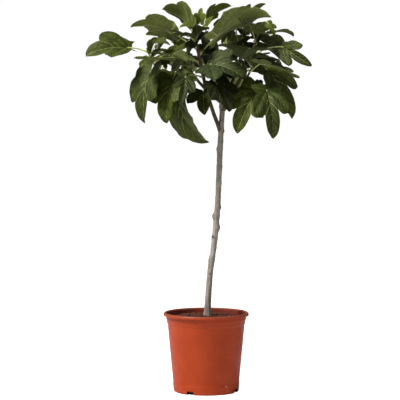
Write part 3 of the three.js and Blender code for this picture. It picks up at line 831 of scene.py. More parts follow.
LIMBS = (
    {
        "name": "middle", "from": 728, "compass": 205, "reach": 88, "top": 1007, "bare": 0.5,
        "radii": (5.8, 3.8), "leaves": 11, "turn": 20, "seed": 3,
        "posed": {
            0: pose((-8, -44, 838), (-4, -98, 772), (-105, 45), 0.8),
            1: pose((28, -84, 860), (64, -118, 780), (-72, 20), 0.7),
            2: pose((-58, -114, 876), (-72, -154, 798), (-72, 22), 0.5),
            3: pose((12, -76, 913), (106, -124, 872), (-95, 42), 0.85),
            5: pose((-136, -76, 926), (-178, -140, 898), (-120, 60), 0.8),
            6: pose((32, -30, 993), (184, -20, 1046), (100, 60), 0.5, lobing=0.1),
            7: pose((-102, -14, 1004), (-210, -22, 1015), (95, 62), 0.62, lobing=0.2),
            8: pose((-50, -56, 992), (-88, -110, 980), (-110, 60), 0.8),
            9: pose((-42, 6, 1014), (-127, 24, 1069), (60, 66), 1.05, lobing=0.1),
            10: pose((1, 26, 1025), (74, 44, 1081), (100, 62), 0.56, base=0.3),
        },
        # A shade leaf is painted shade, and a pale one painted light.
        "tones": {
            0: "deep", 1: "shade", 2: "painted_sheen", 3: "painted_sheen", 6: "pale", 7: "fresh", 9: "fresh",
            10: "fresh",
        },
        "young": [
            sprout(1.0, (-17, -31, 1032), (-13, -28, 1071), 0.66),
            sprout(0.96, (-42, -52, 1019), (-74, -66, 1013), 0.62),
            sprout(0.98, (3, -54, 1018), (20, -64, 1044), 0.6),
            sprout(0.7, (-34, -46, 972), (-50, -60, 940), 0.66),
        ],
    },
    {
        "name": "west", "on": 0, "from": 0.44, "compass": 182, "reach": 210, "top": 952, "bare": 0.5,
        "knee": (0.75, 0.12), "radii": (4.4, 2.6), "leaves": 7, "turn": 150, "seed": 5,
        "posed": {
            0: pose((-90, -62, 876), (-108, -100, 749), (-120, 10), 0.66),
            1: pose((-78, -42, 826), (10, -56, 699), (-152, 5), 0.47, lobing=0),
            3: pose((-153, -53, 894), (-168, -70, 749), (-140, 10), 0.62),
            6: pose((-217, -8, 961), (-333, -30, 935), (-95, 50), 0.74, lobing=0.3, base=0),
        },
        "tones": {0: "green", 1: "green", 3: "deep", 6: "green", 110: "green", 111: "green"},
        "young": [
            sprout(0.85, (-136, -36, 976), (-99, -54, 965), 0.56),
            sprout(0.3, (-117, -26, 928), (-111, -36, 899), 0.7),
        ],
    },
    {
        "name": "north", "from": 794, "compass": 84, "reach": 150, "top": 977, "bare": 0.5,
        "radii": (6, 3), "leaves": 9, "turn": 90, "seed": 8,
        "posed": {6: pose((10, 88, 936), (-8, 80, 1008), (-90, 15), 0.6, base=0.5)},
    },
    {
        "name": "east", "from": 802, "compass": -6, "reach": 98, "top": 1000, "bare": 0.46,
        "radii": (6.2, 3), "leaves": 9, "turn": 0, "seed": 13,
        "posed": {
            1: pose((167, -25, 901), (237, -31, 762), (-72, 50), 0.5),
            4: pose((211, -42, 962), (290, -90, 906), (-110, 8), 0.48, base=0.1),
            5: pose((164, 18, 976), (222, 58, 920), (-60, 40), 0.7),
            6: pose((186, 86, 1006), (250, 106, 998), (0, 88), 0.85),
        },
        "tones": {1: "green", 4: "deep", 5: "deep"},
    },
    {
        "name": "southeast", "from": 788, "compass": -40, "reach": 103, "top": 907, "bare": 0.5,
        "radii": (5.6, 2.8), "leaves": 7, "turn": -60, "seed": 21,
        "posed": {
            0: pose((139, -88, 841), (83, -104, 724), (-110, 10), 0.66),
            1: pose((163, -140, 840), (179, -162, 707), (-80, 10), 0.52, lobing=0.7),
        },
        "tones": {0: "green", 1: "deep"},
    },
    {
        "name": "northwest", "from": 808, "compass": 138, "reach": 185, "top": 977, "bare": 0.46,
        "radii": (5.6, 2.8), "leaves": 8, "turn": 135, "seed": 34,
    },
    {
        "name": "northeast", "from": 814, "compass": 52, "reach": 104, "top": 997, "bare": 0.5,
        "radii": (5.6, 2.8), "leaves": 8, "turn": 60, "seed": 55,
        "posed": {
            6: pose((108, 112, 1028), (20, 140, 1030), (90, 74), 0.9),
            7: pose((112, 59, 1031), (170, 73, 1090), (120, 45), 0.68, base=0.3),
        },
    },
)

# %% [markdown]
# A limb's curve starts on the axis of the stem, or of the limb that carries it, and bends up towards
# its tip. The openings are gaps in the head that one can see through, and young leaves keep out of
# them.

# %% Points on a limb, and the openings
# Openings through the crown, from front to back: X, Z and radius.
OPENINGS = (
    (156, 888, 17), (-17, 861, 9), (-132, 886, 12), (-79, 1035, 10), (31, 985, 8), (-146, 816, 8),
    (-186, 982, 18), (-50, 782, 9), (68, 789, 9),
)


def heading(compass, rise):
    c, r = math.radians(compass), math.radians(rise)
    return np.array([math.cos(c) * math.cos(r), math.sin(c) * math.cos(r), math.sin(r)])


def limb_point(limb, t):
    """A point of a limb's whole curve, from the stem's axis to the shoot's tip."""
    start = limb_point(LIMBS[limb["on"]], limb["from"]) if "on" in limb else trunk_at(limb["from"])
    out, up = limb.get("knee", (0.6, 0.34))
    tip = trunk_at(TRUNK_TOP) + heading(limb["compass"], 0) * limb["reach"]
    tip[2] = limb["top"]
    bend = mix(start, tip, out)
    bend[2] = mix(start[2], tip[2], up)
    return bezier(start, bend, tip, t)


print("limbs:", [limb["name"] for limb in LIMBS])

# %% [markdown]
# ## Boughs
# A bough joins the stem with a thickened collar and carries rings where leaves once sat. Each is a
# tube like the stem, with fewer points because it is thinner, and each replaces its solid.

# %% The boughs
for number, limb in enumerate(LIMBS):
    wood = Gathering()
    shares = np.linspace(0, limb["bare"] + 0.012, 64)
    route = [limb_point(limb, t) for t in shares]
    length = np.concatenate([[0], np.cumsum(np.linalg.norm(np.diff(route, axis=0), axis=1))])
    collar = 1 + 0.3 * np.exp(-((length / 14) ** 2))
    radii = mix(*limb["radii"], shares) * collar
    tube(wood, route, radii, 22, 0, lambda p, c, s=number: 0.75 * bark_relief(*p, s + 3, 15.0))
    name = limb["name"]
    finish_piece(wood.join(f"wood_{name}", [young_bark_and_shade]), "bark", f"bough_{name}")

# %% [markdown]
# ## The leaf rule
# Every leaf of the solid model comes from one rule with a seeded stream of numbers: the lower a leaf
# on its shoot, the larger and limper it is. Where a leaf would have touched another, the solid model
# tried again with the next numbers. The same rule is written here, and the try that the solid kept
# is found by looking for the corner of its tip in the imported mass. Leaves that the solid left out
# are left out here too, so that nothing collides.

# %% The rule for a leaf's place and pose
GOLDEN_ANGLE = 137.5  # from one leaf to the next round the shoot


def number_stream(seed):
    state = seed & 0xFFFFFFFF
    while True:
        state = (state * 1664525 + 1013904223) & 0xFFFFFFFF
        yield state / 4294967296


def ruled_leaf(limb, index, attempt):
    """A leaf by the rule. Each mix runs from the lowest leaf of the shoot to the top one."""
    stream = number_stream(limb["seed"] * 7919 + index * 10473 + attempt * 12553 + 17)
    next(stream)
    loose = 1 + attempt * 0.08

    def jitter(spread):
        return (next(stream) - 0.5) * 2 * spread * loose

    share = index / (limb["leaves"] - 1)
    along = mix(0.04, 0.97, share) + (attempt % 7) * 0.012 * (1 if share < 0.5 else -1)
    root = limb_point(limb, mix(limb["bare"], 1, along))
    compass = limb["turn"] + index * GOLDEN_ANGLE + jitter(12)
    stalk = mix(84, 36, share) * (1 + jitter(0.12))
    heart = root + heading(compass, mix(6, 56, share) + jitter(8)) * stalk
    span = mix(138, 84, share**1.6) * (1 + jitter(0.06)) * (1 - attempt * 0.005)
    drop = mix(-58, 18, share) + jitter(14)
    tip = heart + heading(compass + jitter(16), drop) * span
    leaf = {"root": root, "heart": heart, "tip": tip, "faces": heading(compass + jitter(50), 72)}
    leaf.update(bow=0.14 + jitter(0.05), curl=42 + jitter(14), cup=0.26 + jitter(0.1))
    leaf.update(arch=0.12 + jitter(0.05), lobing=0.3 + next(stream) * 0.55)
    leaf.update(spread=0.88 + jitter(0.1), phase=next(stream) * 360)
    leaf.update(share=share, along=along, index=index)
    posed = limb.get("posed", {}).get(index)
    if posed:
        leaf.update(posed)
        leaf["heart"], leaf["tip"] = (np.array(posed[key], float) for key in ("heart", "tip"))
        leaf["faces"] = heading(*posed["faces"])
    return leaf


print("a leaf by the rule has", sorted(ruled_leaf(LIMBS[0], 0, 0)))

# %% [markdown]
# The blade's outline is a length for each angle from the midrib: a high round lobe at 0, one at 51 and
# one at 101 degrees, with notches between them and a short edge round the stalk. How deep the
# notches are cut differs from leaf to leaf. The flat outline is then cupped along the midrib, arched,
# waved and curled towards the tip, and at last turned and scaled until its heart and tip fall where
# they should.

# %% The outline and the surface of a blade
# Each lobe: its angle, its reach, its half width in degrees, and its notch when shallow and deep.
LOBES = ((0, 1.0, 26, 0.82, 0.38), (51, 0.82, 25, 0.66, 0.34), (101, 0.54, 25, 0.34, 0.26))
SHALLOW, DEEP = (np.array([lobe[column] for lobe in LOBES]) for column in (3, 4))


def edge_reach(angle, leaf):
    """How far the blade's edge lies from its heart, for an array of angles from the midrib."""
    a = np.abs(angle)
    full = mix(0.5, 1, leaf.get("base", 1.0))
    reach = full * mix(0.3, 0.17, (a - 126) / 54)
    for i in (2, 1, 0):
        centre, far, half, _, _ = LOBES[i]
        notch = np.where((a > centre) | (i == 0), i, max(i - 1, 0))
        floor = mix(SHALLOW[notch], DEEP[notch], leaf["lobing"])
        far *= full if i == 2 else 1
        share = np.minimum(1, np.abs(a - centre) / half)
        here = floor + (far - floor) * (1 - share**1.8) ** 0.8
        reach = np.where(a <= centre + half, here, reach)
    return reach


def blade_surface(leaf, angle, reach, lift=0.0):
    """Points of a blade of unit length, X across and Y along: cupped, arched, waved and curled."""
    angle, reach = np.asarray(angle, float), np.asarray(reach, float)
    turn = np.radians(angle)
    ring = reach / edge_reach(angle, leaf)
    across = reach * np.sin(turn) * leaf["spread"]
    along = reach * np.cos(turn)
    wave = 0.03 * ring * ring * np.sin(np.radians(angle * 3.4 + leaf["phase"]))
    height = leaf["cup"] * np.abs(across) - leaf["arch"] * reach * reach + wave + lift
    height = height + leaf.get("fine", 0.0) * fine_relief(leaf, angle, reach, ring)
    curl = math.radians(leaf["curl"])
    bent = np.maximum(along, 0) * curl
    return np.stack(
        [
            across,
            np.minimum(along, 0) + np.sin(bent) / curl + height * np.sin(bent),
            (np.cos(bent) - 1) / curl + height * np.cos(bent),
        ],
        -1,
    )


def fine_relief(leaf, angle, reach, ring):
    """Folds along each main vein and a crimped margin, which only the fine leaf has."""
    turn = np.radians(angle)
    fold = np.full(np.shape(reach), 9.0)
    for centre in (-101, -51, 0, 51, 101):
        fold = np.minimum(fold, np.abs(reach * np.sin(turn - math.radians(centre))))
    keel = 0.26 * np.minimum(fold, 0.1)
    crimp = 0.015 * ring**3 * np.sin(np.radians(angle * 8 + leaf["phase"] * 2))
    return keel + crimp


def blade_frame(leaf):
    """The unit blade's axes, in millimetres, so that its heart and tip fall where they should."""
    tip = blade_surface({**leaf, "fine": 0.0}, 0.0, 1.0)
    chord = leaf["tip"] - leaf["heart"]
    scale = np.linalg.norm(chord) / np.linalg.norm(tip)
    chord = unit(chord)
    side = unit(np.cross(chord, leaf["faces"]))
    turn = -math.atan2(tip[2], tip[1])
    midrib = chord * math.cos(turn) + np.cross(side, chord) * math.sin(turn)
    return np.stack([side, midrib, np.cross(side, midrib)]) * scale, scale


def set_in_place(leaf, points):
    axes, _ = blade_frame(leaf)
    return points @ axes + leaf["heart"]


# %% [markdown]
# The solid model's leaves are found again through their tips: each solid blade is a thin plate, and
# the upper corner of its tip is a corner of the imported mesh. A tree of nearest points makes that
# search quick.

# %% Find the leaves that the solid model kept
SOLID_THICKNESS, TRIES = 2.0, 80
SAME_CORNER = 0.00012  # metres within which two corners count as one


def kept_leaves(limb):
    """The leaves that the solid model kept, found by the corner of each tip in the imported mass."""
    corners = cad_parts[f"foliage_{limb['name']}"].data.vertices
    tree = KDTree(len(corners))
    for i, corner in enumerate(corners):
        tree.insert(corner.co, i)
    tree.balance()
    kept = []
    for index in range(limb["leaves"]):
        for attempt in range(TRIES):
            leaf = ruled_leaf(limb, index, attempt)
            _, scale = blade_frame(leaf)
            corner = set_in_place(leaf, blade_surface(leaf, 0.0, 1.0, SOLID_THICKNESS / 2 / scale))
            if tree.find(Vector(corner * MM))[2] < SAME_CORNER:
                kept.append(leaf)
                break
            if index in limb.get("posed", {}):
                break
    return kept


leaves = {limb["name"]: kept_leaves(limb) for limb in LIMBS}
for limb in LIMBS:
    print("leaves of", limb["name"], [leaf["index"] for leaf in leaves[limb["name"]]], "of", limb["leaves"])

# %% [markdown]
# ## The leaf's finishes
# The upper side of a fig leaf is dark green and satin, the under side paler, greyer and felted. Old
# leaves are deeper. Some are painted bluish: a painted sheen of the pale room. Those in the head's core
# are painted darkest, as painted shade, and a thin one is painted pale on both sides, as painted light
# shining through it. Those at the shoots' tips are fresh yellow-green. Each of these is a material
# of its own with a plain choice of two near colours, given out leaf by leaf. The gloss is tinted
# yellow, because a plain white one would turn such dark greens grey-blue. The finest veins are a net
# that also raises the surface.

# %% Leaf finishes
# Each side of a blade: its two colours, the colour of its finest veins, and its roughness.
BLADE_LOOKS = {
    "leaf_deep": ((30, 40, 6), (55, 66, 15), (74, 84, 26), 0.5),
    "leaf_green": ((36, 46, 6), (66, 77, 16), (92, 102, 34), 0.48),
    # A bluish green: a painted sheen of the pale room.
    "leaf_painted_sheen": ((27, 38, 15), (46, 57, 26), (70, 82, 42), 0.52),
    "leaf_fresh": ((82, 96, 24), (104, 116, 34), (122, 132, 52), 0.46),
    # Near-black greens: painted shade, for the leaves of the head's core.
    "leaf_painted_shade": ((18, 25, 5), (31, 38, 9), (44, 51, 17), 0.52),
    # Pale greens: painted light, as if the light shone through the leaf.
    "leaf_painted_light": ((96, 108, 50), (122, 132, 74), (142, 150, 92), 0.55),
    "leaf_back": ((94, 104, 54), (108, 118, 64), (132, 140, 88), 0.78),
    "leaf_back_fresh": ((108, 118, 54), (122, 130, 64), (144, 150, 88), 0.74),
    # Painted shade on the backs of the leaves of the head's core.
    "leaf_back_painted_shade": ((54, 62, 30), (66, 74, 36), (84, 92, 52), 0.8),
    # Painted light on the back of the pale leaf.
    "leaf_back_painted_light": ((138, 150, 76), (158, 168, 96), (176, 184, 120), 0.74),
}
LEAF_GLOSS = {"IOR": 1.42, "Specular_IOR_Level": 0.42, "Specular_Tint": (1.0, 1.0, 0.55, 1.0)}


def blade_finish(name, main, patch, line, rough):
    made = Finish(name, "leaf")
    soft = made.use(mottle, Patch_Scale=4.5, Speckle_Scale=70.0)
    veins = made.use(net, Cells=21.0)
    tone = made.blend(soft["Patches"], colour(*main), colour(*patch))
    made.set(
        Base_Color=made.blend(veins["Lines"], tone, colour(*line), 0.4),
        Roughness=made.level(soft["Speckle"], rough - 0.05, rough + 0.08),
        **LEAF_GLOSS,
    )
    under = made.bump(veins["Pillows"], 0.5, 0.7)
    made.bump(soft["Speckle"], 0.12, 0.5, under)
    return made.material


blade_materials = [blade_finish(name, *look) for name, look in BLADE_LOOKS.items()]
print("finishes of blades:", list(BLADE_LOOKS))

# %% [markdown]
# Veins, stalks, green shoots and buds are smooth skins of two near colours. The midrib and the veins
# near the stalk are much paler than the blade, and the others keep closer to it. The leaves of the
# core have dark veins, as painted shade, and the pale leaf has very pale ones below, as painted light.

# %% Finishes of veins, stalks, shoots and buds
VEIN_LOOKS = {
    "veins_above": ((166, 174, 102), (182, 187, 120), 0.5),
    "veins_below": ((156, 160, 104), (168, 172, 118), 0.6),
    "veins_fresh": ((142, 148, 76), (156, 160, 90), 0.5),
    # Dark veins: painted shade, for the leaves of the head's core.
    "veins_painted_shade": ((60, 68, 28), (72, 79, 36), 0.5),
    "side_veins": ((90, 101, 43), (104, 113, 55), 0.5),
    "side_veins_fresh": ((118, 127, 56), (132, 138, 68), 0.5),
    # Very pale veins below: painted light, for the pale leaf.
    "veins_below_painted_light": ((214, 216, 164), (226, 228, 180), 0.6),
}


def green_skin(name, main, patch, rough):
    made = Finish(name)
    soft = made.use(mottle, Patch_Scale=60.0, Speckle_Scale=800.0)
    made.set(
        Base_Color=made.blend(soft["Patches"], colour(*main), colour(*patch)),
        Roughness=made.level(soft["Speckle"], rough - 0.06, rough + 0.08),
    )
    made.bump(soft["Speckle"], 0.1, 0.5)
    return made.material


vein_skins = [green_skin(name, *look) for name, look in VEIN_LOOKS.items()]
stalk_skin = green_skin("leaf_stalks", (212, 216, 132), (190, 196, 112), 0.45)
shoot_skin = green_skin("green_shoots", (92, 98, 50), (106, 110, 58), 0.5)
bud_skin = green_skin("buds", (96, 92, 46), (74, 62, 34), 0.5)

# What each tone of leaf is made of: the blade's two sides, its bright veins from above, all its
# veins from below, and its other veins from above.
TONES = {
    "deep": ("leaf_deep", "leaf_back", "veins_above", "veins_below", "side_veins"),
    "green": ("leaf_green", "leaf_back", "veins_above", "veins_below", "side_veins"),
    # The bluish tone is a painted sheen.
    "painted_sheen": ("leaf_painted_sheen", "leaf_back", "veins_above", "veins_below", "side_veins"),
    "fresh": ("leaf_fresh", "leaf_back_fresh", "veins_fresh", "veins_below", "side_veins_fresh"),
    # The shade tone is painted shade.
    "shade": ("leaf_painted_shade", "leaf_back_painted_shade", "veins_painted_shade", "veins_below", "veins_painted_shade"),
    # The pale tone is painted light.
    "pale": ("leaf_painted_light", "leaf_back_painted_light", "veins_fresh", "veins_below_painted_light", "side_veins_fresh"),
}
print("tones of leaves:", list(TONES))

# %% [markdown]
# ## The blade
# A fig leaf has three or five lobes round its heart, with rounded notches, a slightly toothed edge
# and a main vein to the tip of each lobe. The blade is a thin closed shell: one sheet for the upper
# side and one for the lower, joined round the margin. Its points lie on rays from the heart, closer
# together at the notches and tips, so that the outline stays crisp.

# %% The rays and the margin
BLADE_THICKNESS = 0.7
# Rings of points, as shares of the way from heart to margin, and rays, as shares of a lobe's half.
RINGS = (0.09, 0.2, 0.33, 0.46, 0.59, 0.71, 0.82, 0.91, 0.97, 1.0)
SHARES = (0.0, 0.16, 0.32, 0.48, 0.62, 0.74, 0.84, 0.92, 0.97, 1.0)
BASE_RAYS = (131.0, 137.0, 143.0, 149.0, 155.0, 160.0, 164.0)  # round the stalk
LEAST_TURN = 0.6  # degrees; a ray nearer to the last one is left out


def rays():
    side = {0.0, *BASE_RAYS}
    for centre, _, half, _, _ in LOBES:
        for share in SHARES:
            side |= {centre + half * share, abs(centre - half * share)}
    spaced = []
    for angle in sorted(side):
        if not spaced or angle - spaced[-1] > LEAST_TURN:
            spaced.append(angle)
    return np.array([-a for a in spaced[:0:-1]] + spaced)


RAYS = rays()


def margin(leaf, angle):
    """The fine outline: the rule's edge with pointed lobes, shallow teeth and an uneven side."""
    a = np.abs(angle)
    points = sum(np.exp(-(((a - lobe[0]) / 5.0) ** 2)) for lobe in LOBES)
    teeth = np.abs(np.sin(np.radians(angle * 15 + leaf["phase"])))
    uneven = np.sin(np.radians(angle * 2.3 + leaf["phase"] * 3))
    uneven = uneven + 0.6 * np.sin(np.radians(angle * 5.7 + leaf["phase"]))
    edge = 0.945 + 0.035 * points + 0.014 * teeth + 0.012 * uneven
    round_base = 1 - 0.5 * np.clip((a - 140) / 26, 0, 1) ** 2
    return edge_reach(angle, leaf) * edge * round_base


print("rays of a blade:", len(RAYS))

# %% [markdown]
# Rays and rings give a flat sheet of points, which is bent to the blade's surface twice, once for
# each side. The blade has two maps: one in its own units, which the patterns of its finish follow,
# and one shared by the whole piece, in which each side of each blade has a cell to itself.

# %% A blade as arrays
CELL_FILL = 0.48  # how far a blade reaches in its cell of the piece's shared map
BACK_ASIDE = (3, 0)  # the under side's map lies aside, so that its mottling differs


def add_blade(gather, leaf, cell, grid, top_kind, low_kind):
    """Adds one blade to a gathering, with its own map and its cell in the piece's shared map."""
    leaf = {**leaf, "fine": 1.0}
    axes, scale = blade_frame(leaf)
    edge = margin(leaf, RAYS)
    half = BLADE_THICKNESS / 2 / scale
    rings, rays_count = len(RINGS), len(RAYS)
    angles = np.tile(RAYS, rings)
    reaches = np.concatenate([edge * ring for ring in RINGS])
    thin = np.repeat([1 - 0.55 * ring**6 for ring in RINGS], rays_count)
    sheets = []
    for sign in (1, -1):
        sheets.append(blade_surface(leaf, 0.0, 0.0, sign * half)[None])
        sheets.append(blade_surface(leaf, angles, reaches, sign * half * thin))
    flat = np.stack([reaches * np.sin(np.radians(angles)), reaches * np.cos(np.radians(angles))], -1)
    flat = np.vstack([[[0, 0]], flat])
    layer = 1 + rings * rays_count
    faces, kinds, maps = [], [], []

    def cell_map(i, low):
        u, v = flat[i]
        place = cell * 2 + low
        column, row = place % grid, place // grid
        across = column + 0.5 + CELL_FILL * (-u if low else u)
        return (across / grid, (row + 0.5 + CELL_FILL * v) / grid)

    def both(*corners):
        faces.append(corners)
        kinds.append(top_kind)
        maps.append([(tuple(flat[i]), cell_map(i, 0)) for i in corners])
        back = corners[::-1]
        faces.append(tuple(i + layer for i in back))
        kinds.append(low_kind)
        maps.append([(tuple(flat[i] + BACK_ASIDE), cell_map(i, 1)) for i in back])

    for k in range(rays_count - 1):
        both(0, k + 2, k + 1)
        for r in range(rings - 1):
            a, b = 1 + r * rays_count + k, 1 + (r + 1) * rays_count + k
            both(a, a + 1, b + 1, b)
    first = [1 + r * rays_count for r in range(rings)]
    last = [(r + 1) * rays_count for r in range(rings)]
    outer = [1 + (rings - 1) * rays_count + k for k in range(rays_count)]
    rim = [0, *first[:-1], *outer, *last[-2::-1]]
    for a, b in zip(rim, rim[1:] + rim[:1]):
        faces.append((a, b, b + layer, a + layer))
        kinds.append(top_kind)
        maps.append([(tuple(flat[i]), cell_map(i, 0)) for i in (a, b, b, a)])
    gather.add(np.vstack(sheets) @ axes + leaf["heart"], faces, kinds, maps)


print("triangles of a blade's two sides:", (4 * (len(RINGS) - 1) + 2) * (len(RAYS) - 1))

# %% [markdown]
# ## The veins
# Main veins fan out from the heart to each lobe, and side veins leave them at about fifty degrees
# and bend towards the margin. They could be painted, but a real vein is a ridge, slender on the upper
# side and strong below, so each is a slender bar that runs through the blade and shows on both
# sides. A side vein is walked step by step over the flat blade until it nears the margin or the
# next lobe.

# %% The routes of the veins
VEIN_STEP, MOST_STEPS = 0.03, 26
SIDE_VEINS = {0: 6, 51: 5, 101: 2}  # pairs of them on the main vein of each lobe
FIELDS = {0: (26, 26), 51: (26, 76), 101: (76, 150)}  # the angles between which a lobe's veins keep
MAIN_WIDTHS, SIDE_WIDTHS = (0.0112, 0.0026), (0.0034, 0.0014)  # half widths, from start to end


def reach_to_margin(leaf, angle):
    return float(margin(leaf, np.array([float(angle)]))[0])


def side_vein(leaf, centre, side, start):
    """The route of a side vein, which leaves the main one on one side at some way along it."""
    way = math.radians(centre)
    low, high = FIELDS[abs(centre)]
    x, y = start * math.sin(way), start * math.cos(way)
    route = []
    for step in range(MOST_STEPS):
        angle, reach = math.degrees(math.atan2(x, y)), math.hypot(x, y)
        ring = reach / reach_to_margin(leaf, angle)
        beyond = abs(angle) < low - 0.5 if side * centre < 0 else abs(angle) > high + 0.5
        if step and (ring > 0.95 or beyond):
            break
        route.append((angle, reach, mix(*SIDE_WIDTHS, min(step / 14, 1))))
        lean = way + side * math.radians(52 - 1.3 * step)
        x, y = x + VEIN_STEP * math.sin(lean), y + VEIN_STEP * math.cos(lean)
    return route


def thinned(route):
    """Every second point of a long route, and its last one."""
    if len(route) < 9:
        return route
    return route[::2] + (route[-1:] if len(route) % 2 == 0 else [])


def vein_routes(leaf):
    """Routes over the flat blade as (angle, reach, half width) rows, the midrib and its pairs first."""
    routes = []
    for centre in (0, 51, -51, 101, -101):
        far = reach_to_margin(leaf, centre)
        routes.append([(centre, t * far * 0.97, mix(*MAIN_WIDTHS, t)) for t in np.linspace(0.0, 1, 12)])
        pairs = SIDE_VEINS[abs(centre)]
        for k in range(pairs):
            for side in (1, -1):
                start = (0.17 + (0.68 / max(pairs - 1, 1)) * k + 0.02 * side) * far
                route = side_vein(leaf, centre, side, start)
                if len(route) > 2:
                    routes.append(thinned(route))
    return routes


print("veins of the lowest leaf:", len(vein_routes(leaves["middle"][0])))

# %% [markdown]
# Each route is then lifted on to the blade's surface, and a bar with four sides is laid along it. It
# stands only a little above the blade, and further below it the wider the vein is.

# %% The veins as arrays
BRIGHT_VEINS = 5  # the midrib and the first two pairs that leave it
VEIN_PROUD, VEIN_DEPTH = 0.1, 0.55  # how far a bar stands out above and, where wide, below
VEIN_TOP = 0.8  # share of its width that it keeps on top


def unit_rows(rows):
    return rows / np.linalg.norm(rows, axis=1)[:, None]


def add_veins(gather, leaf, above, below, beside):
    """Adds the veins of one blade: the bright ones above, all of them below, the others above."""
    leaf = {**leaf, "fine": 1.0}
    axes, scale = blade_frame(leaf)
    half = BLADE_THICKNESS / 2 / scale
    for number, route in enumerate(vein_routes(leaf)):
        skin = above if number < BRIGHT_VEINS else beside
        angle, reach, wide = (np.array(column, float) for column in zip(*route))
        shrink = np.clip(wide / 0.0036, 0.35, 1.6)
        over, on, under = (blade_surface(leaf, angle, reach, lift) for lift in (0.01, 0.0, -0.01))
        top = on @ axes + leaf["heart"]
        up = unit_rows((over - under) @ axes)
        way = unit_rows(np.gradient(top, axis=0))
        side = unit_rows(np.cross(way, up)) * (wide * scale)[:, None]
        high = top + up * (half * scale + VEIN_PROUD)
        low = top - up * (half * scale + VEIN_DEPTH * shrink)[:, None]
        corners = [high - side * VEIN_TOP, high + side * VEIN_TOP, low + side, low - side]
        points = np.stack(corners, 1).reshape(-1, 3)
        faces = [(3, 2, 1, 0)]
        for i in range(len(route) - 1):
            for k in range(4):
                a, b = i * 4 + k, i * 4 + (k + 1) % 4
                faces.append((a, b, b + 4, a + 4))
        end = (len(route) - 1) * 4
        faces.append((end, end + 1, end + 2, end + 3))
        kinds = [skin, *[skin, skin, below, skin] * (len(route) - 1), skin]
        gather.add(points, [face[::-1] for face in faces], kinds)


# %% [markdown]
# ## Stalks and buds
# A stalk bows up on its way from the shoot and runs on under the midrib. It is thickest at its foot.
# A bud is a slender cone with a slight belly, made with the same tube as the stem.

# %% Stalks and buds


def stalk_route(leaf, steps=10):
    bend = mix(leaf["root"], leaf["heart"], 0.55)
    bend[2] += leaf["bow"] * np.linalg.norm(leaf["heart"] - leaf["root"])
    line = [bezier(leaf["root"], bend, leaf["heart"], t) for t in np.linspace(0, 1, steps)]
    axes, _ = blade_frame(leaf)
    midrib, face = unit(axes[1]), unit(axes[2])
    return line + [leaf["heart"] + midrib * 5 - face * 0.5, leaf["heart"] + midrib * 10 - face * 0.6]


def add_stalk(gather, leaf, thick=1.0):
    line = stalk_route(leaf)
    share = np.linspace(0, 1, len(line))
    radii = thick * (2.2 - 0.5 * share + 0.9 * np.exp(-((share / 0.1) ** 2)))
    radii[-2:] = (0.95 * thick, 0.3)
    tube(gather, line, radii, 7)


BUD = 2  # the place of the buds' finish in a shoot's list


def add_bud(gather, base, way, length, thick):
    """A pointed bud, whose scales are too fine to model."""
    way = unit(way)
    line = [base + way * length * t for t in (-0.12, 0.0, 0.2, 0.42, 0.66, 0.86, 1.0)]
    tube(gather, line, thick * np.array([0.7, 0.92, 1.0, 0.86, 0.56, 0.28, 0.06]), 7, BUD)


# %% [markdown]
# ## Young leaves
# Between and past the large leaves come young ones, which the solid leaves out. They are drawn at
# seeded places and kept only where they touch no other blade and stay out of the openings. To test
# that, each blade has a light stand-in of a few faces, and Blender's trees of faces tell which ones
# cross. A few more, at listed places, close gaps that a real head fills.

# %% Room for young leaves
OPENING_EDGE = 0.9  # share of an opening's radius that has to stay free
PATCH_ANGLES = np.array([-140, -101, -76, -51, -26, 0, 26, 51, 76, 101, 140.0])
taken_points, taken_faces = [], []


def clear_of_openings(points):
    return all(
        np.hypot(points[:, 0] - x, points[:, 2] - z).min() > radius * OPENING_EDGE
        for x, z, radius in OPENINGS
    )


def coarse_patch(leaf):
    """A light stand-in for a blade, for testing whether two blades meet."""
    points = [set_in_place(leaf, blade_surface(leaf, 0.0, 0.0))]
    for ring in (0.5, 1.0):
        reach = edge_reach(PATCH_ANGLES, leaf) * ring
        points += list(set_in_place(leaf, blade_surface(leaf, PATCH_ANGLES, reach)))
    n = len(PATCH_ANGLES)
    faces = [(0, k + 1, k + 2) for k in range(n - 1)]
    faces += [(k + 1, n + k + 1, n + k + 2) for k in range(n - 1)]
    faces += [(k + 1, n + k + 2, k + 2) for k in range(n - 1)]
    return np.array(points), faces


def tree_of_faces(points, faces):
    return BVHTree.FromPolygons([Vector(p) for p in points], faces)


def hold(points, faces):
    start = len(taken_points)
    taken_points.extend(map(tuple, points))
    taken_faces.extend(tuple(i + start for i in face) for face in faces)


for limb in LIMBS:
    for leaf in leaves[limb["name"]]:
        hold(*coarse_patch(leaf))
print("faces of stand-ins:", len(taken_faces))

# %% [markdown]
# Each young leaf is tried a few times with fresh random numbers, a little lower on the shoot each
# time, and the first that fits is kept. One stream of numbers serves the whole head, so the order
# of the draws matters: it gives the same head on every run.

# %% Young leaves, drawn or listed
YOUNG, PLACED = 100, 110  # numbers that young leaves count from, past those of the large ones
YOUNG_SEATS = (0.985, 0.93, 0.8, 0.62)  # shares along the shoot where a young leaf is tried
YOUNG_TRIES, HIGHEST_TIP, STALK_ROOM = 14, 1080, 2.5
draw = np.random.default_rng(11)


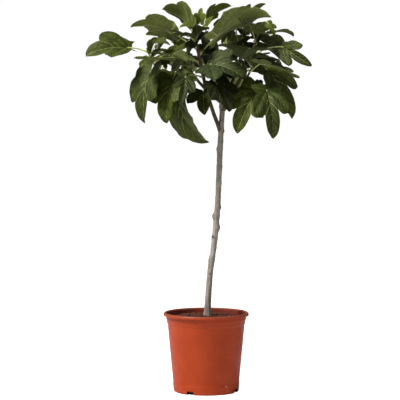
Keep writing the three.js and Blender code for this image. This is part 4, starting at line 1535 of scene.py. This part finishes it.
def young_leaf(limb, number, attempt):
    """A small folded leaf, near the shoot's tip or sideways from it lower down."""
    share = YOUNG_SEATS[number] - 0.01 * attempt
    root = limb_point(limb, mix(limb["bare"], 1, share))
    way = unit(limb_point(limb, 1.0) - limb_point(limb, 0.97))
    compass = draw.uniform(0, 360)
    rise = draw.uniform(20, 70)
    out = unit(heading(compass, rise) + way * (0.9 if number < 2 else 0.2))
    stalk, span = draw.uniform(12, 24), draw.uniform(30, 52)
    heart = root + out * stalk
    tip = heart + unit(out + heading(compass, -20) * draw.uniform(0.2, 0.9)) * span
    leaf = {"root": root, "heart": heart, "tip": tip, "faces": unit(heading(compass, 70) + (0, 0, 0.2))}
    leaf.update(bow=0.1, curl=draw.uniform(30, 60), cup=draw.uniform(0.4, 0.7), arch=0.1)
    leaf.update(lobing=draw.uniform(0.2, 0.7), spread=draw.uniform(0.62, 0.78))
    leaf.update(phase=draw.uniform(0, 360), share=1.0, index=YOUNG + number)
    return leaf


def placed_young(limb, number, young):
    """A young leaf at a set place, for a gap near the middle that a real head fills."""
    root = limb_point(limb, mix(limb["bare"], 1, young["along"]))
    heart, tip = (np.array(young[key], float) for key in ("heart", "tip"))
    leaf = {"root": root, "heart": heart, "tip": tip, "faces": unit(heading(-100, 50))}
    leaf.update(bow=0.1, curl=30, cup=0.5, arch=0.1, lobing=0.4, spread=young["spread"])
    leaf.update(phase=77.0 * number, share=1.0, index=PLACED + number)
    return leaf


def grown_young(limb):
    kept = []
    for number in range(len(YOUNG_SEATS)):
        for attempt in range(YOUNG_TRIES):
            leaf = young_leaf(limb, number, attempt)
            points, faces = coarse_patch(leaf)
            if not clear_of_openings(points) or leaf["tip"][2] > HIGHEST_TIP:
                continue
            held = tree_of_faces(taken_points, taken_faces)
            if tree_of_faces(points, faces).overlap(held):
                continue
            if min(held.find_nearest(Vector(p))[3] for p in stalk_route(leaf)[3:]) < STALK_ROOM:
                continue
            hold(points, faces)
            kept.append(leaf)
            break
    for number, young in enumerate(limb.get("young", ())):
        leaf = placed_young(limb, number, young)
        points, faces = coarse_patch(leaf)
        met = len(tree_of_faces(points, faces).overlap(tree_of_faces(taken_points, taken_faces)))
        print("placed young leaf", limb["name"], number, "meets", met, "faces of others")
        hold(points, faces)
        kept.append(leaf)
    return kept


# %% [markdown]
# ## Growing the head
# Each mass becomes four joined pieces: blades, veins, stalks, and the shoot with its buds. The shoot
# swells where a leaf sits, grows thin and green towards its end, and closes in a pointed bud. A leaf
# takes the tone that its pose gives it. If it has none, its place decides: painted darker in the core,
# as painted shade, fresh near a shoot's tip, and otherwise one of the greens in turn, among them a
# bluish one with a painted sheen.

# %% Grow every shoot
CORE_AXIS, CORE_RADIUS, CORE_TOP = 40, 118, 1000  # the head's shaded core; its axis stands at that X
NEAR_TIP = 0.9  # share along the shoot past which a leaf is fresh
BLADE_NAMES, VEIN_NAMES = list(BLADE_LOOKS), list(VEIN_LOOKS)


def tone_of(limb, leaf):
    if leaf["index"] in limb.get("tones", {}):
        return limb["tones"][leaf["index"]]
    x, y, z = leaf["heart"]
    # The leaves of the head's core are painted darker: painted shade.
    if math.hypot(x - CORE_AXIS, y) < CORE_RADIUS and z < CORE_TOP:
        return "shade"
    if leaf["share"] > NEAR_TIP:
        return "fresh"
    return ("green", "deep", "green", "painted_sheen", "green")[int(leaf["phase"]) % 5]


def grown_shoot(limb, grown):
    """The shoot past the bare bough: woody low down, green near its end, with its buds."""
    shoot = Gathering()
    shares = np.linspace(limb["bare"] - 0.004, 1, 60)
    seats = [mix(limb["bare"], 1, leaf["along"]) for leaf in grown]
    swell = sum(0.14 * np.exp(-(((shares - seat) / 0.012) ** 2)) for seat in seats)
    radii = mix(*limb["radii"], shares) * (1 + swell)
    radii *= 1 - 0.45 * np.clip((shares - 0.9) / 0.1, 0, 1)
    kinds = [0 if share < mix(limb["bare"], 1, 0.8) else 1 for share in shares]
    route = [limb_point(limb, t) for t in shares]
    tube(shoot, route, radii, 14, kinds, lambda p, c: 0.3 * bark_relief(*p, 5, 11.0))
    add_bud(shoot, limb_point(limb, 1.0), limb_point(limb, 1.0) - limb_point(limb, 0.96), 13, 2.1)
    for leaf, seat in zip(grown, seats):
        line = stalk_route(leaf)
        side = unit(line[1] - line[0])
        foot = leaf["root"] + side * mix(*limb["radii"], seat) * 0.8 + (0, 0, 2.6)
        add_bud(shoot, foot, side + (0, 0, 1.1), 4.2, 1.5)
    return shoot


totals = []
for limb in LIMBS:
    name = limb["name"]
    grown, young = leaves[name], grown_young(limb)
    blades, veins, stalks = Gathering(), Gathering(), Gathering()
    everything = grown + young
    grid = math.ceil(math.sqrt(2 * len(everything)))
    for cell, leaf in enumerate(everything):
        *sides, above, below, beside = TONES[tone_of(limb, leaf)]
        add_blade(blades, leaf, cell, grid, *(BLADE_NAMES.index(side) for side in sides))
        add_veins(veins, leaf, *(VEIN_NAMES.index(skin) for skin in (above, below, beside)))
        add_stalk(stalks, leaf, 1.0 if leaf["index"] < YOUNG else 0.62)
    shoot = grown_shoot(limb, grown)
    blades = blades.join(f"leaves_{name}", blade_materials, ("leaf", "OFBake"))
    finish_piece(blades, "foliage", f"foliage_{name}")
    finish_piece(veins.join(f"veins_{name}", vein_skins), "foliage")
    finish_piece(stalks.join(f"stalks_{name}", [stalk_skin]), "foliage")
    finish_piece(shoot.join(f"shoot_{name}", [young_bark_and_shade, shoot_skin, bud_skin]), "foliage")
    totals.append((name, len(grown), len(young)))
print("leaves grown, large and young:", totals)

# %% [markdown]
# ## Floor and light
# The plant stands on a plain pale floor in a white room. A large soft light from the upper left, a
# little to the front, shapes the pot and the stem, and a weak one fills from the right. The pale
# room itself gives the long reflections down both edges of the plastic. The camera sees floor and
# backdrop brighter than they light the plant, so that they stay white behind it.

# %% Floor and room
FLOOR_SIZE = 40
ROOM_LIGHT, BACKDROP_LIGHT, FLOOR_GLOW = 0.22, 1.02, 0.95
floor_finish = Finish("pale_floor")
masks = floor_finish.use(mottle, Patch_Scale=3.0, Speckle_Scale=60.0)
floor_finish.set(
    Base_Color=floor_finish.blend(masks["Patches"], colour(240, 240, 240), colour(236, 236, 236)),
    Roughness=floor_finish.level(masks["Speckle"], 0.85, 0.95),
    Emission_Color=(1, 1, 1, 1),
)
seen = node(floor_finish.tree, "ShaderNodeLightPath").outputs["Is Camera Ray"]
floor_finish.set(Emission_Strength=floor_finish.level(seen, 0.0, FLOOR_GLOW))
clear_selection()
bpy.ops.mesh.primitive_plane_add(size=FLOOR_SIZE, location=(0, 0, 0))
floor = bpy.context.object
floor.name = "floor"
floor.data.materials.append(floor_finish.material)

room = bpy.data.worlds.new("room")
room.use_nodes = True
bpy.context.scene.world = room
backdrop = room.node_tree.nodes["Background"]
seen = node(room.node_tree, "ShaderNodeLightPath").outputs["Is Camera Ray"]
inputs = {"Value": seen, "To Min": ROOM_LIGHT, "To Max": BACKDROP_LIGHT}
room.node_tree.links.new(
    node(room.node_tree, "ShaderNodeMapRange", inputs).outputs[0], backdrop.inputs["Strength"]
)
backdrop.inputs["Color"].default_value = (1, 1, 1, 1)
print("room light", ROOM_LIGHT, "backdrop", BACKDROP_LIGHT, "floor glow", FLOOR_GLOW)

# %% [markdown]
# A lamp is a round disk turned to face a point of the plant. The larger the disk, the softer the
# shadows. The key is strong and high, the fill is weak and low, from the other side.

# %% Lamps


def soft_light(name, place, aim, size, power):
    lamp = bpy.data.lights.new(name, "AREA")
    lamp.shape, lamp.size, lamp.energy = "DISK", size, power
    holder = bpy.data.objects.new(name, lamp)
    bpy.context.scene.collection.objects.link(holder)
    holder.location = place
    holder.rotation_euler = (Vector(aim) - Vector(place)).to_track_quat("-Z", "Y").to_euler()
    print(name, "at", place, power, "W")


soft_light("key", (-2.6, -1.5, 4.0), (0, 0, 0.7), 1.1, 240)
soft_light("fill", (2.8, -2.6, 1.4), (0, 0, 0.6), 2.2, 3)
bpy.context.scene.view_settings.view_transform = "Standard"
